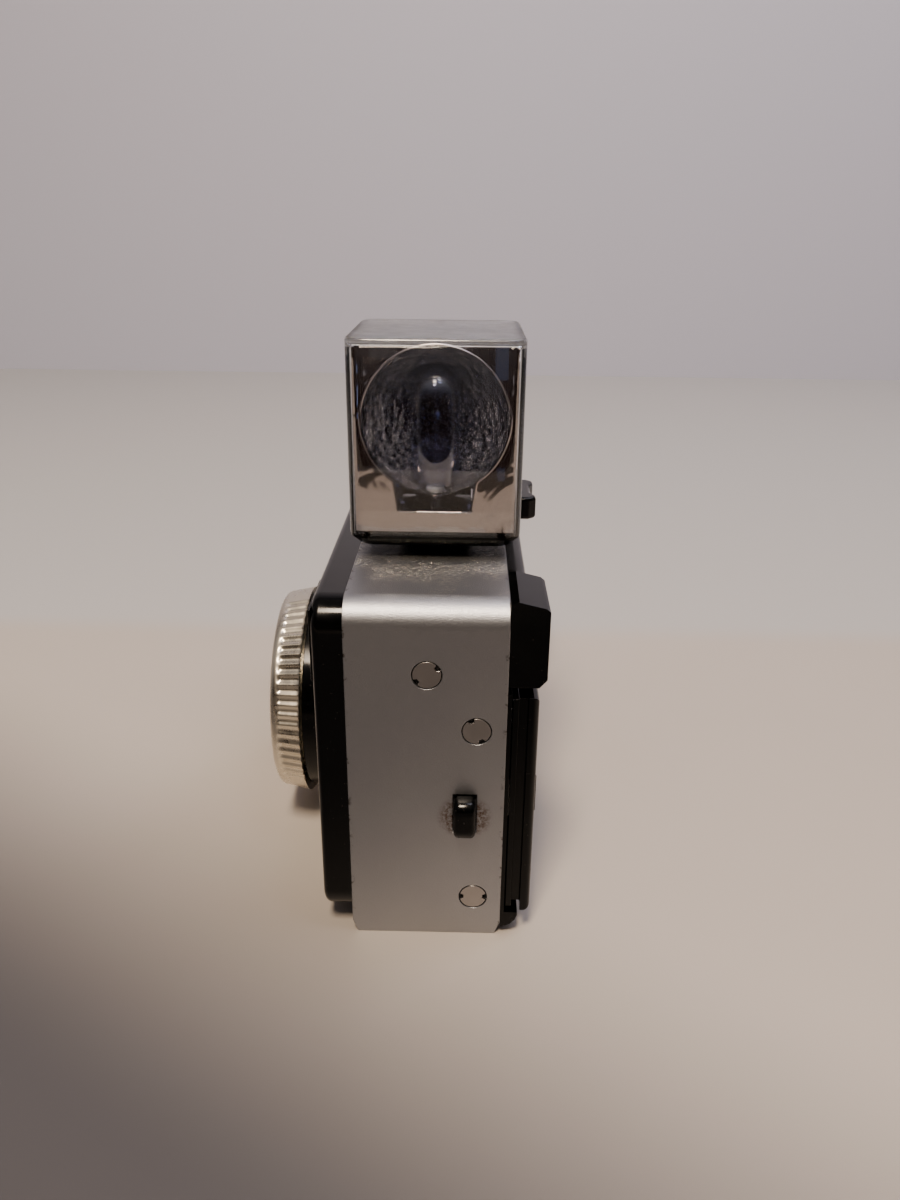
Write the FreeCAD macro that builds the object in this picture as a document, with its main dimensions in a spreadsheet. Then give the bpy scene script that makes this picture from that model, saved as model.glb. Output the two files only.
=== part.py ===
import FreeCAD, Part
import Sketcher
import math
import os

# A pocket camera for drop-in film cartridges, with a rotating socket for a plug-in flash cube.
# Millimetres. +Z is up, the lens looks along -Y, and the origin is the middle of the bottom face.

os.makedirs("parts", exist_ok=True)
doc = FreeCAD.newDocument("CartridgeCamera")
sheet = doc.addObject("Spreadsheet::Sheet", "Sizes")


# ---------------------------------------------------------------- sizes
class Size:
    """A number together with the sheet expression that gives it."""

    def __init__(self, value, text):
        self.value = float(value)
        self.text = text

    def __add__(self, other):
        other = as_size(other)
        return Size(self.value + other.value, f"({self.text} + {other.text})")

    def __sub__(self, other):
        other = as_size(other)
        return Size(self.value - other.value, f"({self.text} - {other.text})")

    def __mul__(self, other):
        other = as_size(other)
        return Size(self.value * other.value, f"({self.text} * {other.text})")

    def __truediv__(self, other):
        other = as_size(other)
        return Size(self.value / other.value, f"({self.text} / {other.text})")

    def __radd__(self, other):
        return as_size(other) + self

    def __rsub__(self, other):
        return as_size(other) - self

    def __neg__(self):
        return Size(-self.value, f"(-{self.text})")


def as_size(value):
    if isinstance(value, Size):
        return value
    return Size(value, f"({float(value):.6f})")


DRIVING_SIZES = {
    # body
    "half_length": 54.0, "top_z": 62.0, "corner_rad": 4.5,
    "band_half_depth": 12.75, "band_thick": 0.6, "band_lip": 3.0,
    "chassis_gap": 0.1, "chassis_half_depth": 12.6,
    "foot_bevel_wide": 0.9, "foot_bevel_tall": 2.3,
    # film chamber
    "lens_x": 9.5, "lens_z": 24.2, "gate_half": 14.0,
    "chamber_low": 4.3, "chamber_high": 45.5, "well_front": -7.5, "well_inner_half": 16.8,
    "takeup_well_end": -33.0, "supply_well_end": 51.2, "gate_front": 8.0, "gate_rear": 9.6,
    "deck_z": 47.0, "bay_top": 59.9,
    # battery bay
    "cell_x": -43.0, "cell_rad": 5.2, "cell_tall": 44.5, "cell_offset": 5.4, "bay_low": 1.2,
    "battery_deck_z": 50.0,
    # front and rear covers
    "front_face": -17.7, "front_wall": 1.6, "front_low": 3.4, "front_high": 61.8,
    "front_corner": 5.0, "skin_proud": 0.4, "skin_low": 8.2, "skin_high": 45.7,
    "frame_rear": 13.4, "rear_high_face": 15.8,
    "hinge_x": -51.9, "hinge_y": 15.5, "hinge_rad": 1.5, "pin_rad": 0.7,
    "door_low": 5.0, "door_high": 46.4, "door_inner": 13.6, "door_outer": 17.8,
    "door_plate": 1.7, "door_left": -49.6, "door_right": 53.8,
    # view finder
    "finder_left": 40.6, "finder_right": 51.6, "finder_low": 48.6, "finder_high": 59.6,
    # lens
    "base_rad": 19.8, "base_front": -24.6, "base_bore": 17.5, "ring_front": -30.8,
    "ring_front_rad": 20.05, "ring_rear_rad": 21.1, "ring_sleeve": 17.4,
    "flute_rad": 0.8, "flute_count": 21.0, "flute_sector": 109.0,
    "stop_pivot_drop": 9.0, "stop_pin_rad": 14.5,
    # advance gearing
    "gear_module": 0.8, "cube_teeth": 22.0, "takeup_teeth": 14.0, "rack_low": 52.3, "rack_thick": 2.0,
    "addendum": 0.7, "dedendum": 0.9, "backlash": 0.24,
    "cube_x": 20.5, "cube_y": 0.6, "takeup_steps": 17.0,
    # flash cube
    "collar_rad": 6.1, "socket_rad": 6.9, "post_rad": 3.9, "post_low": 61.4,
    "base_foot_half": 12.5, "base_half": 14.25, "cube_half": 14.35, "cube_low": 64.0, "cover_low": 66.2, "cube_high": 98.2, "cover_wall": 0.8,
    "reflector_half": 12.3, "dish_rad": 12.05, "dish_z": 85.2, "dish_deep": 8.8,
    "bulb_rad": 4.5, "bulb_out": 8.0, "bulb_low": 71.0, "bulb_high": 94.5, "wire_rad": 0.3,
    # release
    "button_x": -38.0, "button_y": -7.0, "button_rad": 4.5, "button_high": 65.0,
    "lever_x": -14.0, "lever_z": 46.0, "blade_x": 6.0, "blade_z": 40.0,
    "running_gap": 0.06,
}
for row, (alias, number) in enumerate(DRIVING_SIZES.items(), 1):
    sheet.set(f"A{row}", alias)
    sheet.set(f"B{row}", str(number))
    sheet.setAlias(f"B{row}", alias)
doc.recompute()
D = {alias: Size(number, f"Sizes.{alias}") for alias, number in DRIVING_SIZES.items()}

SUBPARTS = []


# ---------------------------------------------------------------- helpers
def new_body(name):
    body = doc.addObject("PartDesign::Body", name)
    body.Label = name
    SUBPARTS.append(body)
    return body


def origin_plane(body, role):
    return [item for item in body.Origin.OriginFeatures if item.Role == role][0]


def place(body, x=0, y=0, z=0):
    for axis, distance in zip("xyz", (x, y, z)):
        body.setExpression(f"Placement.Base.{axis}", as_size(distance).text)


def fix_point(sketch, geometry, corner, x, y):
    for kind, distance in (("DistanceX", as_size(x)), ("DistanceY", as_size(y))):
        index = sketch.addConstraint(
            Sketcher.Constraint(kind, -1, 1, geometry, corner, distance.value))
        sketch.setExpression(f"Constraints[{index}]", distance.text)


def draw_loop(sketch, points):
    first = sketch.GeometryCount
    count = len(points)
    corners = [FreeCAD.Vector(as_size(x).value, as_size(y).value, 0) for x, y in points]
    for index in range(count):
        line = Part.LineSegment(corners[index], corners[(index + 1) % count])
        sketch.addGeometry(line, False)
    for index in range(count):
        following = first + (index + 1) % count
        sketch.addConstraint(Sketcher.Constraint("Coincident", first + index, 2, following, 1))
    for index, (x, y) in enumerate(points):
        fix_point(sketch, first + index, 1, x, y)


def draw_circle(sketch, x, y, radius):
    radius = as_size(radius)
    centre = FreeCAD.Vector(as_size(x).value, as_size(y).value, 0)
    circle = Part.Circle(centre, FreeCAD.Vector(0, 0, 1), radius.value)
    geometry = sketch.addGeometry(circle, False)
    fix_point(sketch, geometry, 3, x, y)
    index = sketch.addConstraint(Sketcher.Constraint("Radius", geometry, radius.value))
    sketch.setExpression(f"Constraints[{index}]", radius.text)


def rect(x0, x1, y0, y1):
    return [(x0, y0), (x1, y0), (x1, y1), (x0, y1)]


def sketch_on(body, plane, loops=(), circles=(), offset=0):
    name = f"{body.Name}_sketch{len(body.Group)}"
    sketch = body.newObject("Sketcher::SketchObject", name)
    sketch.AttachmentSupport = [(origin_plane(body, plane + "_Plane"), "")]
    sketch.MapMode = "FlatFace"
    sketch.setExpression("AttachmentOffset.Base.z", as_size(offset).text)
    for points in loops:
        draw_loop(sketch, points)
    for x, y, radius in circles:
        draw_circle(sketch, x, y, radius)
    return sketch


def pad(body, plane, low, high, loops=(), circles=()):
    """Solid between two distances along the plane's own axis (XY: Z, XZ: Y, YZ: X)."""
    low, high = as_size(low), as_size(high)
    offset = -high if plane == "XZ" else low
    feature = body.newObject("PartDesign::Pad", f"{body.Name}_pad{len(body.Group)}")
    feature.Profile = sketch_on(body, plane, loops, circles, offset)
    feature.setExpression("Length", (high - low).text)
    return feature


def pocket(body, plane, low, high, loops=(), circles=()):
    """Cut between two distances along the plane's own axis."""
    low, high = as_size(low), as_size(high)
    offset = -low if plane == "XZ" else high
    feature = body.newObject("PartDesign::Pocket", f"{body.Name}_pocket{len(body.Group)}")
    feature.Profile = sketch_on(body, plane, loops, circles, offset)
    feature.setExpression("Length", (high - low).text)
    doc.recompute()
    if feature.Shape.isNull():
        raise RuntimeError(f"{feature.Name} failed: {feature.State}, {body.Tip.Name}")
    if feature.Shape.Volume >= feature.BaseFeature.Shape.Volume - 1e-6:
        raise RuntimeError(f"{feature.Name} cuts nothing")
    return feature


def turn(body, plane, points, axis="V_Axis", cut=False):
    """Revolve a profile about one of its sketch's axes, to add or to cut."""
    kind = "Groove" if cut else "Revolution"
    feature = body.newObject(f"PartDesign::{kind}", f"{body.Name}_turn{len(body.Group)}")
    sketch = sketch_on(body, plane, [points])
    feature.Profile = sketch
    feature.ReferenceAxis = (sketch, [axis])
    feature.Angle = 360
    return feature


def edges_where(shape, chosen, along):
    """Names of the edges whose middle passes the test, if need be only those along one axis."""
    names = []
    for index, edge in enumerate(shape.Edges, 1):
        box = edge.BoundBox
        lengths = {"X": box.XLength, "Y": box.YLength, "Z": box.ZLength}
        straight = all(length < 0.01 for axis, length in lengths.items() if axis != along)
        if chosen(box.Center) and (along is None or straight):
            names.append(f"Edge{index}")
    return names


def fillet(body, radius, chosen, along=None):
    """Round the chosen edges of the body so far."""
    doc.recompute()
    base = body.Tip
    feature = body.newObject("PartDesign::Fillet", f"{body.Name}_fillet{len(body.Group)}")
    feature.Base = (base, edges_where(base.Shape, chosen, along))
    feature.setExpression("Radius", as_size(radius).text)
    doc.recompute()
    if feature.Shape.isNull():
        raise RuntimeError(f"{feature.Name} failed on {feature.Base[1]}")
    return feature


def near(value, target):
    return abs(value - as_size(target).value) < 0.01


def add_shape(name, shape):
    feature = doc.addObject("Part::Feature", name)
    feature.Shape = shape
    feature.Label = name
    SUBPARTS.append(feature)
    return feature


def cylinder(radius, low, high, centre, axis="Z"):
    """A plain cylinder along one axis, from low to high on it."""
    direction = {"X": (1, 0, 0), "Y": (0, 1, 0), "Z": (0, 0, 1)}[axis]
    start = {"X": (low, centre[0], centre[1]), "Y": (centre[0], low, centre[1]),
             "Z": (centre[0], centre[1], low)}[axis]
    return Part.makeCylinder(radius, high - low, FreeCAD.Vector(*start),
                             FreeCAD.Vector(*direction))


# ---------------------------------------------------------------- casing
END_SCREWS = [(0.1, 50.2), (8.0, 40.4), (8.0, 7.9)]     # Y and Z of each screw on an end face
SHANK_RAD = 1.1
HEAD_RAD = 2.3
INNER_HALF = D["half_length"] - D["band_thick"] - D["chassis_gap"]
INNER_TOP = D["top_z"] - D["band_thick"] - D["chassis_gap"]
WELL_LEFT = D["lens_x"] - D["well_inner_half"]
WELL_RIGHT = D["lens_x"] + D["well_inner_half"]
CELL_BAY = (D["cell_x"] - 8.5, D["cell_x"] + 8.5)
GEAR_PITCH = D["gear_module"] * math.pi
CUBE_PITCH_RAD = D["gear_module"] * D["cube_teeth"] / 2
TAKEUP_PITCH_RAD = D["gear_module"] * D["takeup_teeth"] / 2
PITCH_LINE = D["cube_y"] + CUBE_PITCH_RAD
TAKEUP_X = D["cube_x"] - GEAR_PITCH * D["takeup_steps"]
TAKEUP_Y = PITCH_LINE - TAKEUP_PITCH_RAD


def end_screw_circles(radius):
    return [(y, z, radius) for y, z in END_SCREWS]


def make_chassis():
    body = new_body("chassis")
    deep = D["chassis_half_depth"]
    pad(body, "XZ", -deep, deep, [rect(-INNER_HALF, INNER_HALF, 0, INNER_TOP)])
    fillet(body, D["corner_rad"] - 0.7,
           lambda p: near(abs(p.x), INNER_HALF) and near(p.z, INNER_TOP), "Y")
    lip = INNER_HALF - D["band_lip"] - 0.1
    for side in (-1, 1):
        pocket(body, "XZ", -deep, deep,
               [rect(*sorted([lip * side, INNER_HALF * side], key=lambda s: s.value), 0,
                     D["band_thick"] + 0.1)])
        bevel = [(deep * side, -1), (deep * side, D["foot_bevel_tall"] + 0.1),
                 ((deep - D["foot_bevel_wide"]) * side, 0),
                 ((deep - D["foot_bevel_wide"]) * side, -1)]
        pocket(body, "YZ", -INNER_HALF, INNER_HALF, [bevel])
    low, high = D["chamber_low"], D["chamber_high"]
    for x0, x1 in ((D["takeup_well_end"], WELL_LEFT), (WELL_RIGHT, D["supply_well_end"])):
        pocket(body, "XZ", D["well_front"], deep, [rect(x0, x1, low, high)])
    pocket(body, "XZ", D["gate_rear"], deep, [rect(WELL_LEFT, WELL_RIGHT, low, high)])
    tunnel = D["gate_half"] + 0.9
    pocket(body, "XZ", -deep, D["gate_front"],
           [rect(D["lens_x"] - tunnel, D["lens_x"] + tunnel, 7.0, 41.4)])
    pocket(body, "XZ", D["gate_front"], D["gate_rear"],
           [rect(D["lens_x"] - D["gate_half"], D["lens_x"] + D["gate_half"],
                 D["lens_z"] - D["gate_half"], D["lens_z"] + D["gate_half"])])
    pocket(body, "XZ", -(D["cell_offset"] + 5.8), deep, [rect(*CELL_BAY, D["bay_low"], 48.6)])
    pocket(body, "XZ", -deep, deep,
           [[(-50.5, D["battery_deck_z"]), (-34.0, D["battery_deck_z"]), (-34.0, D["deck_z"]),
             (38.6, D["deck_z"]), (38.6, D["bay_top"]), (-50.5, D["bay_top"])]])
    pad(body, "XZ", 10.6, 12.2, [rect(-32.0, 36.0, D["deck_z"] - 0.2, D["rack_low"] - 0.3)])
    pocket(body, "XZ", -deep, deep,
           [rect(D["finder_left"], D["finder_right"], D["finder_low"], D["finder_high"])])
    pocket(body, "XY", D["bay_top"], D["top_z"],
           circles=[(D["cube_x"], D["cube_y"], 5.0 + D["running_gap"]),
                    (D["button_x"], D["button_y"], D["button_rad"] + 0.25)])
    pocket(body, "XY", 45.9, D["deck_z"],
           circles=[(D["cube_x"], D["cube_y"], 3.0 + D["running_gap"])])
    pocket(body, "XY", D["chamber_high"], D["deck_z"],
           circles=[(TAKEUP_X, TAKEUP_Y, 2.4 + D["running_gap"])])
    pocket(body, "XY", 0, 6.5, circles=[(D["lens_x"], -2.0, 4.4)])
    pocket(body, "YZ", D["finder_right"] - 0.1, INNER_HALF, circles=end_screw_circles(SHANK_RAD))
    pocket(body, "YZ", -INNER_HALF, -(D["finder_right"] - 0.1),
           circles=end_screw_circles(SHANK_RAD))


def make_silver_band():
    """Thin wrap of sheet metal over the top and both ends, hooked under the bottom corners."""
    body = new_body("silver_band")
    deep = D["band_half_depth"]
    outer, inner = D["half_length"], D["half_length"] - D["band_thick"]
    under = inner - D["band_lip"]
    outline = [(-outer, 0), (-under, 0), (-under, D["band_thick"]), (-inner, D["band_thick"]),
               (-inner, D["top_z"] - D["band_thick"]), (inner, D["top_z"] - D["band_thick"]),
               (inner, D["band_thick"]), (under, D["band_thick"]), (under, 0), (outer, 0),
               (outer, D["top_z"]), (-outer, D["top_z"])]
    pad(body, "XZ", -deep, deep, [outline])
    fillet(body, D["corner_rad"] - D["band_thick"],
           lambda p: near(abs(p.x), inner) and near(p.z, D["top_z"] - D["band_thick"]), "Y")
    fillet(body, D["corner_rad"],
           lambda p: near(abs(p.x), outer) and near(p.z, D["top_z"]), "Y")
    for side in (-1, 1):
        bevel = [((deep + 1) * side, -1), ((deep + 1) * side, D["foot_bevel_tall"]),
                 (deep * side, D["foot_bevel_tall"]),
                 ((deep - D["foot_bevel_wide"]) * side, 0),
                 ((deep - D["foot_bevel_wide"]) * side, -1)]
        pocket(body, "YZ", -outer, outer, [bevel])
    pocket(body, "YZ", -outer, outer, circles=end_screw_circles(HEAD_RAD + 0.12))
    pocket(body, "YZ", inner - 1, outer, [rect(4.4, 8.3, 21.2, 28.6)])
    pocket(body, "XY", D["top_z"] - 1, D["top_z"],
           circles=[(D["cube_x"], D["cube_y"], D["collar_rad"] + 0.1),
                    (D["button_x"], D["button_y"], D["button_rad"] + 0.25)])


def make_front_panel():
    body = new_body("front_panel")
    wide = D["half_length"] - 0.1
    face, back = D["front_face"], -D["band_half_depth"]
    pad(body, "XZ", face, back, [rect(-wide, wide, D["front_low"], D["front_high"])])
    fillet(body, D["front_corner"], lambda p: near(abs(p.x), wide), "Y")
    fillet(body, 1.3, lambda p: near(p.y, face))
    pocket(body, "YZ", -wide, wide,
           [[(face - 1, 0), (back, 0), (back, D["front_low"] + 0.02), (face - 1, D["front_low"] + 1)]])
    inside = wide - 1.7
    pocket(body, "XZ", face + D["front_wall"], back,
           [rect(-inside, inside, D["front_low"] + 2.0, D["front_high"] - 1.9)])
    pocket(body, "XZ", face, face + D["front_wall"],
           [rect(D["finder_left"] + 0.4, D["finder_right"] - 0.4,
                 D["finder_low"] + 0.4, D["finder_high"] - 0.4)],
           [(D["lens_x"], D["lens_z"], 10.3)])


def make_front_leatherette():
    body = new_body("front_leatherette")
    face = D["front_face"]
    pad(body, "XZ", face - D["skin_proud"], face,
        [rect(-50.5, 50.5, D["skin_low"], D["skin_high"])])
    fillet(body, 2.0, lambda p: near(abs(p.x), 50.5), "Y")
    pocket(body, "XZ", face - D["skin_proud"], face,
           circles=[(D["lens_x"], D["lens_z"], D["base_rad"] + 0.5)])


def make_finder():
    """The view finder's front trim, window, objective, rear housing and eye lens."""
    left, right, low, high = (D[key] for key in
                              ("finder_left", "finder_right", "finder_low", "finder_high"))
    face = D["front_face"]
    trim = new_body("finder_trim")
    pad(trim, "XZ", face - 0.4, face, [rect(left - 0.8, right + 0.8, low - 0.6, high + 0.6),
                                       rect(left + 0.9, right - 0.9, low + 0.9, high - 0.9)])
    window = new_body("finder_window")
    pad(window, "XZ", face + 0.1, face + 1.2, [rect(left + 0.5, right - 0.5, low + 0.5, high - 0.5)])
    objective = new_body("finder_objective")
    pad(objective, "XZ", -11.0, -8.5, [rect(left + 0.1, right - 0.1, low + 0.1, high - 0.1)])
    pocket(objective, "YZ", left, right, [[(-8.5, low + 1.5), (-9.6, low + 3.5),
                                           (-9.9, (low + high) / 2), (-9.6, high - 3.5),
                                           (-8.5, high - 1.5), (-8.0, (low + high) / 2)]])
    housing = new_body("eyepiece_housing")
    inner = D["band_half_depth"]
    pad(housing, "YZ", 40.0, 53.5,
        [[(inner, 48.0), (17.6, 48.0), (18.8, 49.4), (18.8, 60.8), (18.1, 61.4), (14.0, 62.4),
          (inner, 62.0)]])
    pocket(housing, "XZ", inner, 18.8, [rect(41.6, 50.6, 49.6, 58.6)])
    eye = new_body("eyepiece_lens")
    pad(eye, "XZ", 15.4, 17.0, [rect(41.65, 50.55, 49.65, 58.55)])
    pocket(eye, "XZ", 16.6, 17.0, circles=[(46.1, 54.1, 4.0)])


def make_rear_upper_housing():
    body = new_body("rear_upper_housing")
    inner, face = D["band_half_depth"], D["rear_high_face"]
    left = D["half_length"] - 0.1
    pad(body, "XZ", inner, face, [rect(-left, 39.8, 47.0, 61.9)])
    fillet(body, D["corner_rad"] - 0.1, lambda p: near(p.x, -left) and near(p.z, 61.9), "Y")
    fillet(body, 1.2, lambda p: near(p.y, face) and (near(p.z, 61.9) or near(p.x, -left)))
    pocket(body, "XZ", inner, face - 1.4, [rect(-51.0, 38.2, 48.5, 60.3)])
    pocket(body, "XZ", face - 1.4, face, [rect(-39.2, -19.9, 51.6, 54.8)])


def make_rear_frame():
    """Flat frame round the film chamber, with the sill under the door and the hinge knuckles."""
    body = new_body("rear_frame")
    inner, face = D["band_half_depth"], D["frame_rear"]
    wide = D["half_length"] - 0.1
    pad(body, "XZ", inner, face, [rect(-wide, wide, 1.5, 46.9),
                                  rect(-51.3, 50.2, 4.9, D["chamber_high"])])
    pad(body, "YZ", -wide, wide,
        [[(inner, 1.5), (13.3, 1.5), (14.4, 2.0), (15.3, 2.9), (15.7, 4.0), (15.7, 4.6),
          (inner, 4.6)]])
    x, y = D["hinge_x"], D["hinge_y"]
    for low, high in ((5.2, 13.9), (37.6, 46.2)):
        pad(body, "XY", low, high, [rect(x - 1.5, x + 1.5, inner + 0.2, y)])
        pad(body, "XY", low, high, circles=[(x, y, D["hinge_rad"])])
    pocket(body, "XY", 5.2, 46.9, circles=[(x, y, D["pin_rad"] + 0.01)])


def make_hinge_pin():
    body = new_body("hinge_pin")
    pad(body, "XY", 5.3, 46.1, circles=[(D["hinge_x"], D["hinge_y"], D["pin_rad"])])


def make_door_catch():
    body = new_body("door_catch")
    pad(body, "XY", 22.5, 29.5, [rect(50.3, 50.9, D["frame_rear"], 15.6)])


def make_end_screws(name, side):
    """Three flush screws whose heads have two small pin notches."""
    inside = INNER_HALF.value
    head_low, head_high = inside, D["half_length"].value
    notch_turn = {0: 35.0, 1: 115.0, 2: 0.0}
    screws = []
    for index, (y, z) in enumerate(END_SCREWS):
        shank = cylinder(SHANK_RAD - 0.01, 51.7, inside, (y, z), "X")
        head = cylinder(HEAD_RAD, head_low, head_high, (y, z), "X")
        for half in (0, 180):
            angle = math.radians(notch_turn[index] + half)
            centre = (y + 1.95 * math.cos(angle), z + 1.95 * math.sin(angle))
            head = head.cut(cylinder(0.45, head_high - 0.35, head_high + 1, centre, "X"))
        screws.append(head.fuse(shank))
    group = Part.makeCompound(screws)
    if side < 0:
        group = group.mirror(FreeCAD.Vector(0, 0, 0), FreeCAD.Vector(1, 0, 0))
    add_shape(name, group)


def make_strap_lug():
    body = new_body("strap_lug")
    start, end = D["half_length"] - D["band_thick"], D["half_length"]
    pad(body, "XZ", 4.5, 8.2,
        [[(start, 21.3), (end, 21.3), (end + 2.2, 21.6), (end + 3.1, 22.6), (end + 3.1, 27.2),
          (end + 2.2, 28.2), (end, 28.5), (start, 28.5)]])
    pocket(body, "XZ", 4.5, 8.2, [rect(end - 0.1, end + 1.7, 22.9, 26.9)])


def make_tripod_bush():
    body = new_body("tripod_bush")
    pad(body, "XY", 0, 6.4, circles=[(0, 0, 4.39), (0, 0, 2.6)])
    place(body, D["lens_x"], -2.0)


# ---------------------------------------------------------------- lens and shutter
def lens_body(name):
    body = new_body(name)
    place(body, D["lens_x"], 0, D["lens_z"])
    return body


PILLARS = [(13.2 * math.cos(math.radians(a)), 13.2 * math.sin(math.radians(a)))
           for a in (-20, 200, 20, 160)]


def make_lens_base():
    body = lens_body("lens_base")
    front, rear = D["base_front"], D["front_face"]
    turn(body, "XY", [(6.0, rear + 1.7), (10.2, rear + 1.7), (10.2, rear), (D["base_rad"], rear),
                      (D["base_rad"], front), (D["base_bore"], front), (D["base_bore"], rear - 1.6),
                      (6.0, rear - 1.6)])
    pad(body, "XZ", -24.8, rear - 1.0, circles=[(x, z, 1.3) for x, z in PILLARS])
    pad(body, "XZ", -21.0, rear - 1.0, circles=[(0, -D["stop_pivot_drop"], 0.8)])


def make_setting_ring():
    """Fluted ring that turns in the lens base; its pin swings the stop plate."""
    body = lens_body("setting_ring")
    front, rear = D["ring_front"], D["base_front"] - 0.1
    sleeve = D["ring_sleeve"]
    turn(body, "XY", [(16.4, front + 0.5), (17.0, front), (19.0, front),
                      (D["ring_front_rad"], front + 1.0), (D["ring_rear_rad"], rear),
                      (sleeve, rear), (sleeve, -19.6), (16.4, -19.6)])
    pad(body, "XZ", -22.0, -21.2, [rect(-1.0, 1.0, 13.6, 16.8)])
    pad(body, "XZ", -21.3, -19.8, circles=[(0, D["stop_pin_rad"], 0.6)])
    first = math.radians(-27.0)
    out = 20.95
    flute = pocket(body, "XZ", front + 0.9, rear,
                   circles=[(out * math.cos(first), out * math.sin(first), D["flute_rad"])])
    doc.recompute()
    sector = body.newObject("PartDesign::PolarPattern", "flute_sector_pattern")
    sector.Originals = [flute]
    sector.Axis = (flute.Profile[0], ["N_Axis"])
    sector.setExpression("Angle", D["flute_sector"].text)
    sector.setExpression("Occurrences", D["flute_count"].text)
    body.Tip = sector
    doc.recompute()
    if sector.Shape.Volume >= flute.Shape.Volume:
        raise RuntimeError("the flutes cut nothing")
    opposite = pocket(body, "XZ", front + 0.9, rear,
                      circles=[(-out * math.cos(first), -out * math.sin(first), D["flute_rad"])])
    second = body.newObject("PartDesign::PolarPattern", "flute_sector_opposite")
    second.Originals = [opposite]
    second.Axis = (opposite.Profile[0], ["N_Axis"])
    second.setExpression("Angle", D["flute_sector"].text)
    second.setExpression("Occurrences", D["flute_count"].text)
    body.Tip = second


def make_lens():
    surround = lens_body("lens_surround")
    turn(surround, "XY", [(8.9, -27.2), (15.9, -30.2), (15.9, -29.2), (8.9, -26.2)])
    barrel = lens_body("lens_barrel")
    turn(barrel, "XY", [(6.45, -29.4), (8.7, -29.4), (8.7, -25.8), (15.6, -25.8), (15.6, -24.9),
                        (8.7, -24.9), (8.7, -21.4), (5.0, -21.4), (5.0, -22.2), (6.45, -22.2)])
    pad(barrel, "XZ", -27.4, -25.6, circles=[(x * 0.94, z * 0.94, 1.0) for x, z in PILLARS])
    retainer = lens_body("lens_retainer")
    turn(retainer, "XY", [(5.3, -29.0), (6.4, -29.0), (6.4, -28.0), (5.8, -28.0)])
    front = lens_body("front_lens")
    turn(front, "XY", [(0, -28.9), (2.2, -28.75), (4.2, -28.35), (5.6, -27.8), (6.4, -27.6),
                       (6.4, -26.4), (0, -26.4)])
    spacer = lens_body("lens_spacer")
    turn(spacer, "XY", [(5.4, -26.3), (6.4, -26.3), (6.4, -24.1), (5.4, -24.1)])
    rear = lens_body("rear_lens")
    turn(rear, "XY", [(0, -24.0), (6.4, -24.0), (6.4, -22.3), (5.0, -22.3), (2.5, -22.0),
                      (0, -21.8)])


def make_aperture_plate():
    """Swinging stop plate with a large and a small hole, and a fork for the ring's pin."""
    body = lens_body("aperture_plate")
    drop = D["stop_pivot_drop"]
    fork_end = D["stop_pin_rad"] + 0.4
    pad(body, "XZ", -20.3, -19.9,
        [[(-2.6, -drop - 2.0), (2.6, -drop - 2.0), (6.4, -2.6), (6.4, 3.6), (2.2, 6.4),
          (2.2, fork_end), (-2.2, fork_end), (-2.2, 6.4), (-6.4, 3.6), (-6.4, -2.6)]])
    pocket(body, "XZ", -20.3, -19.9, [rect(-0.75, 0.75, 12.4, fork_end + 0.1)],
           [(0, -drop, 0.86), (-2.7, -0.4, 2.0), (2.7, -0.4, 1.2)])


def make_shutter():
    plate = new_body("shutter_plate")
    pad(plate, "XZ", -13.2, -12.7, [rect(-18.0, 24.0, 12.0, 48.6)],
        [(D["lens_x"], D["lens_z"], 2.4)])
    for x, z in ((D["lever_x"], D["lever_z"]), (D["blade_x"], D["blade_z"])):
        pad(plate, "XZ", -15.8, -13.1, circles=[(x, z, 0.8)])
    blade = new_body("shutter_blade")
    x, z = D["blade_x"], D["blade_z"]
    neck_x, neck_z = D["lens_x"], D["lens_z"]
    pad(blade, "XZ", -14.2, -13.8,
        [[(x - 5.6, z - 1.6), (x - 1.5, z - 2.0), (neck_x - 1.9, neck_z), (neck_x + 1.9, neck_z),
          (x + 2.2, z + 0.5), (x + 1.0, z + 2.0), (x - 5.6, z + 1.6)]])
    pad(blade, "XZ", -14.2, -13.8, circles=[(neck_x, neck_z, 3.2)])
    pocket(blade, "XZ", -14.2, -13.8, [rect(x - 5.0, x - 2.6, z - 0.55, z + 0.55)], [(x, z, 0.86)])
    lever = new_body("release_lever")
    px, pz = D["lever_x"], D["lever_z"]
    pad(lever, "XZ", -15.2, -14.5,
        [[(px - 25.5, pz + 4.6), (px - 1.0, pz - 2.0), (px + 1.5, pz - 2.2), (px + 17.2, pz - 7.2),
          (px + 17.2, pz - 4.8), (px + 1.0, pz + 2.0), (px - 22.6, pz + 6.7),
          (px - 25.5, pz + 6.7)]])
    pocket(lever, "XZ", -15.2, -14.5, circles=[(px, pz, 0.86)])
    pad(lever, "XZ", -14.6, -13.6, circles=[(px + 16.0, pz - 6.0, 0.5)])


def make_light_tunnel():
    """Black pyramid that keeps stray light off the film, open at both ends."""
    x, z, half = D["lens_x"], D["lens_z"], D["gate_half"]
    body = new_body("light_tunnel")
    shells = (("PartDesign::AdditiveLoft", 0.5, 0.0), ("PartDesign::SubtractiveLoft", -0.3, 0.01))
    for kind, grow, past in shells:
        front_half, rear_half = as_size(6.0 + grow), half + grow
        front = sketch_on(body, "XZ", [rect(x - front_half, x + front_half, z - front_half,
                                            z + front_half)], offset=12.5 + past)
        rear = sketch_on(body, "XZ", [rect(x - rear_half, x + rear_half, z - rear_half,
                                           z + rear_half)], offset=-7.9 - past)
        loft = body.newObject(kind, f"light_tunnel_{'outside' if grow > 0 else 'inside'}")
        loft.Profile = front
        loft.Sections = [rear]
        loft.Ruled = True


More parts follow.
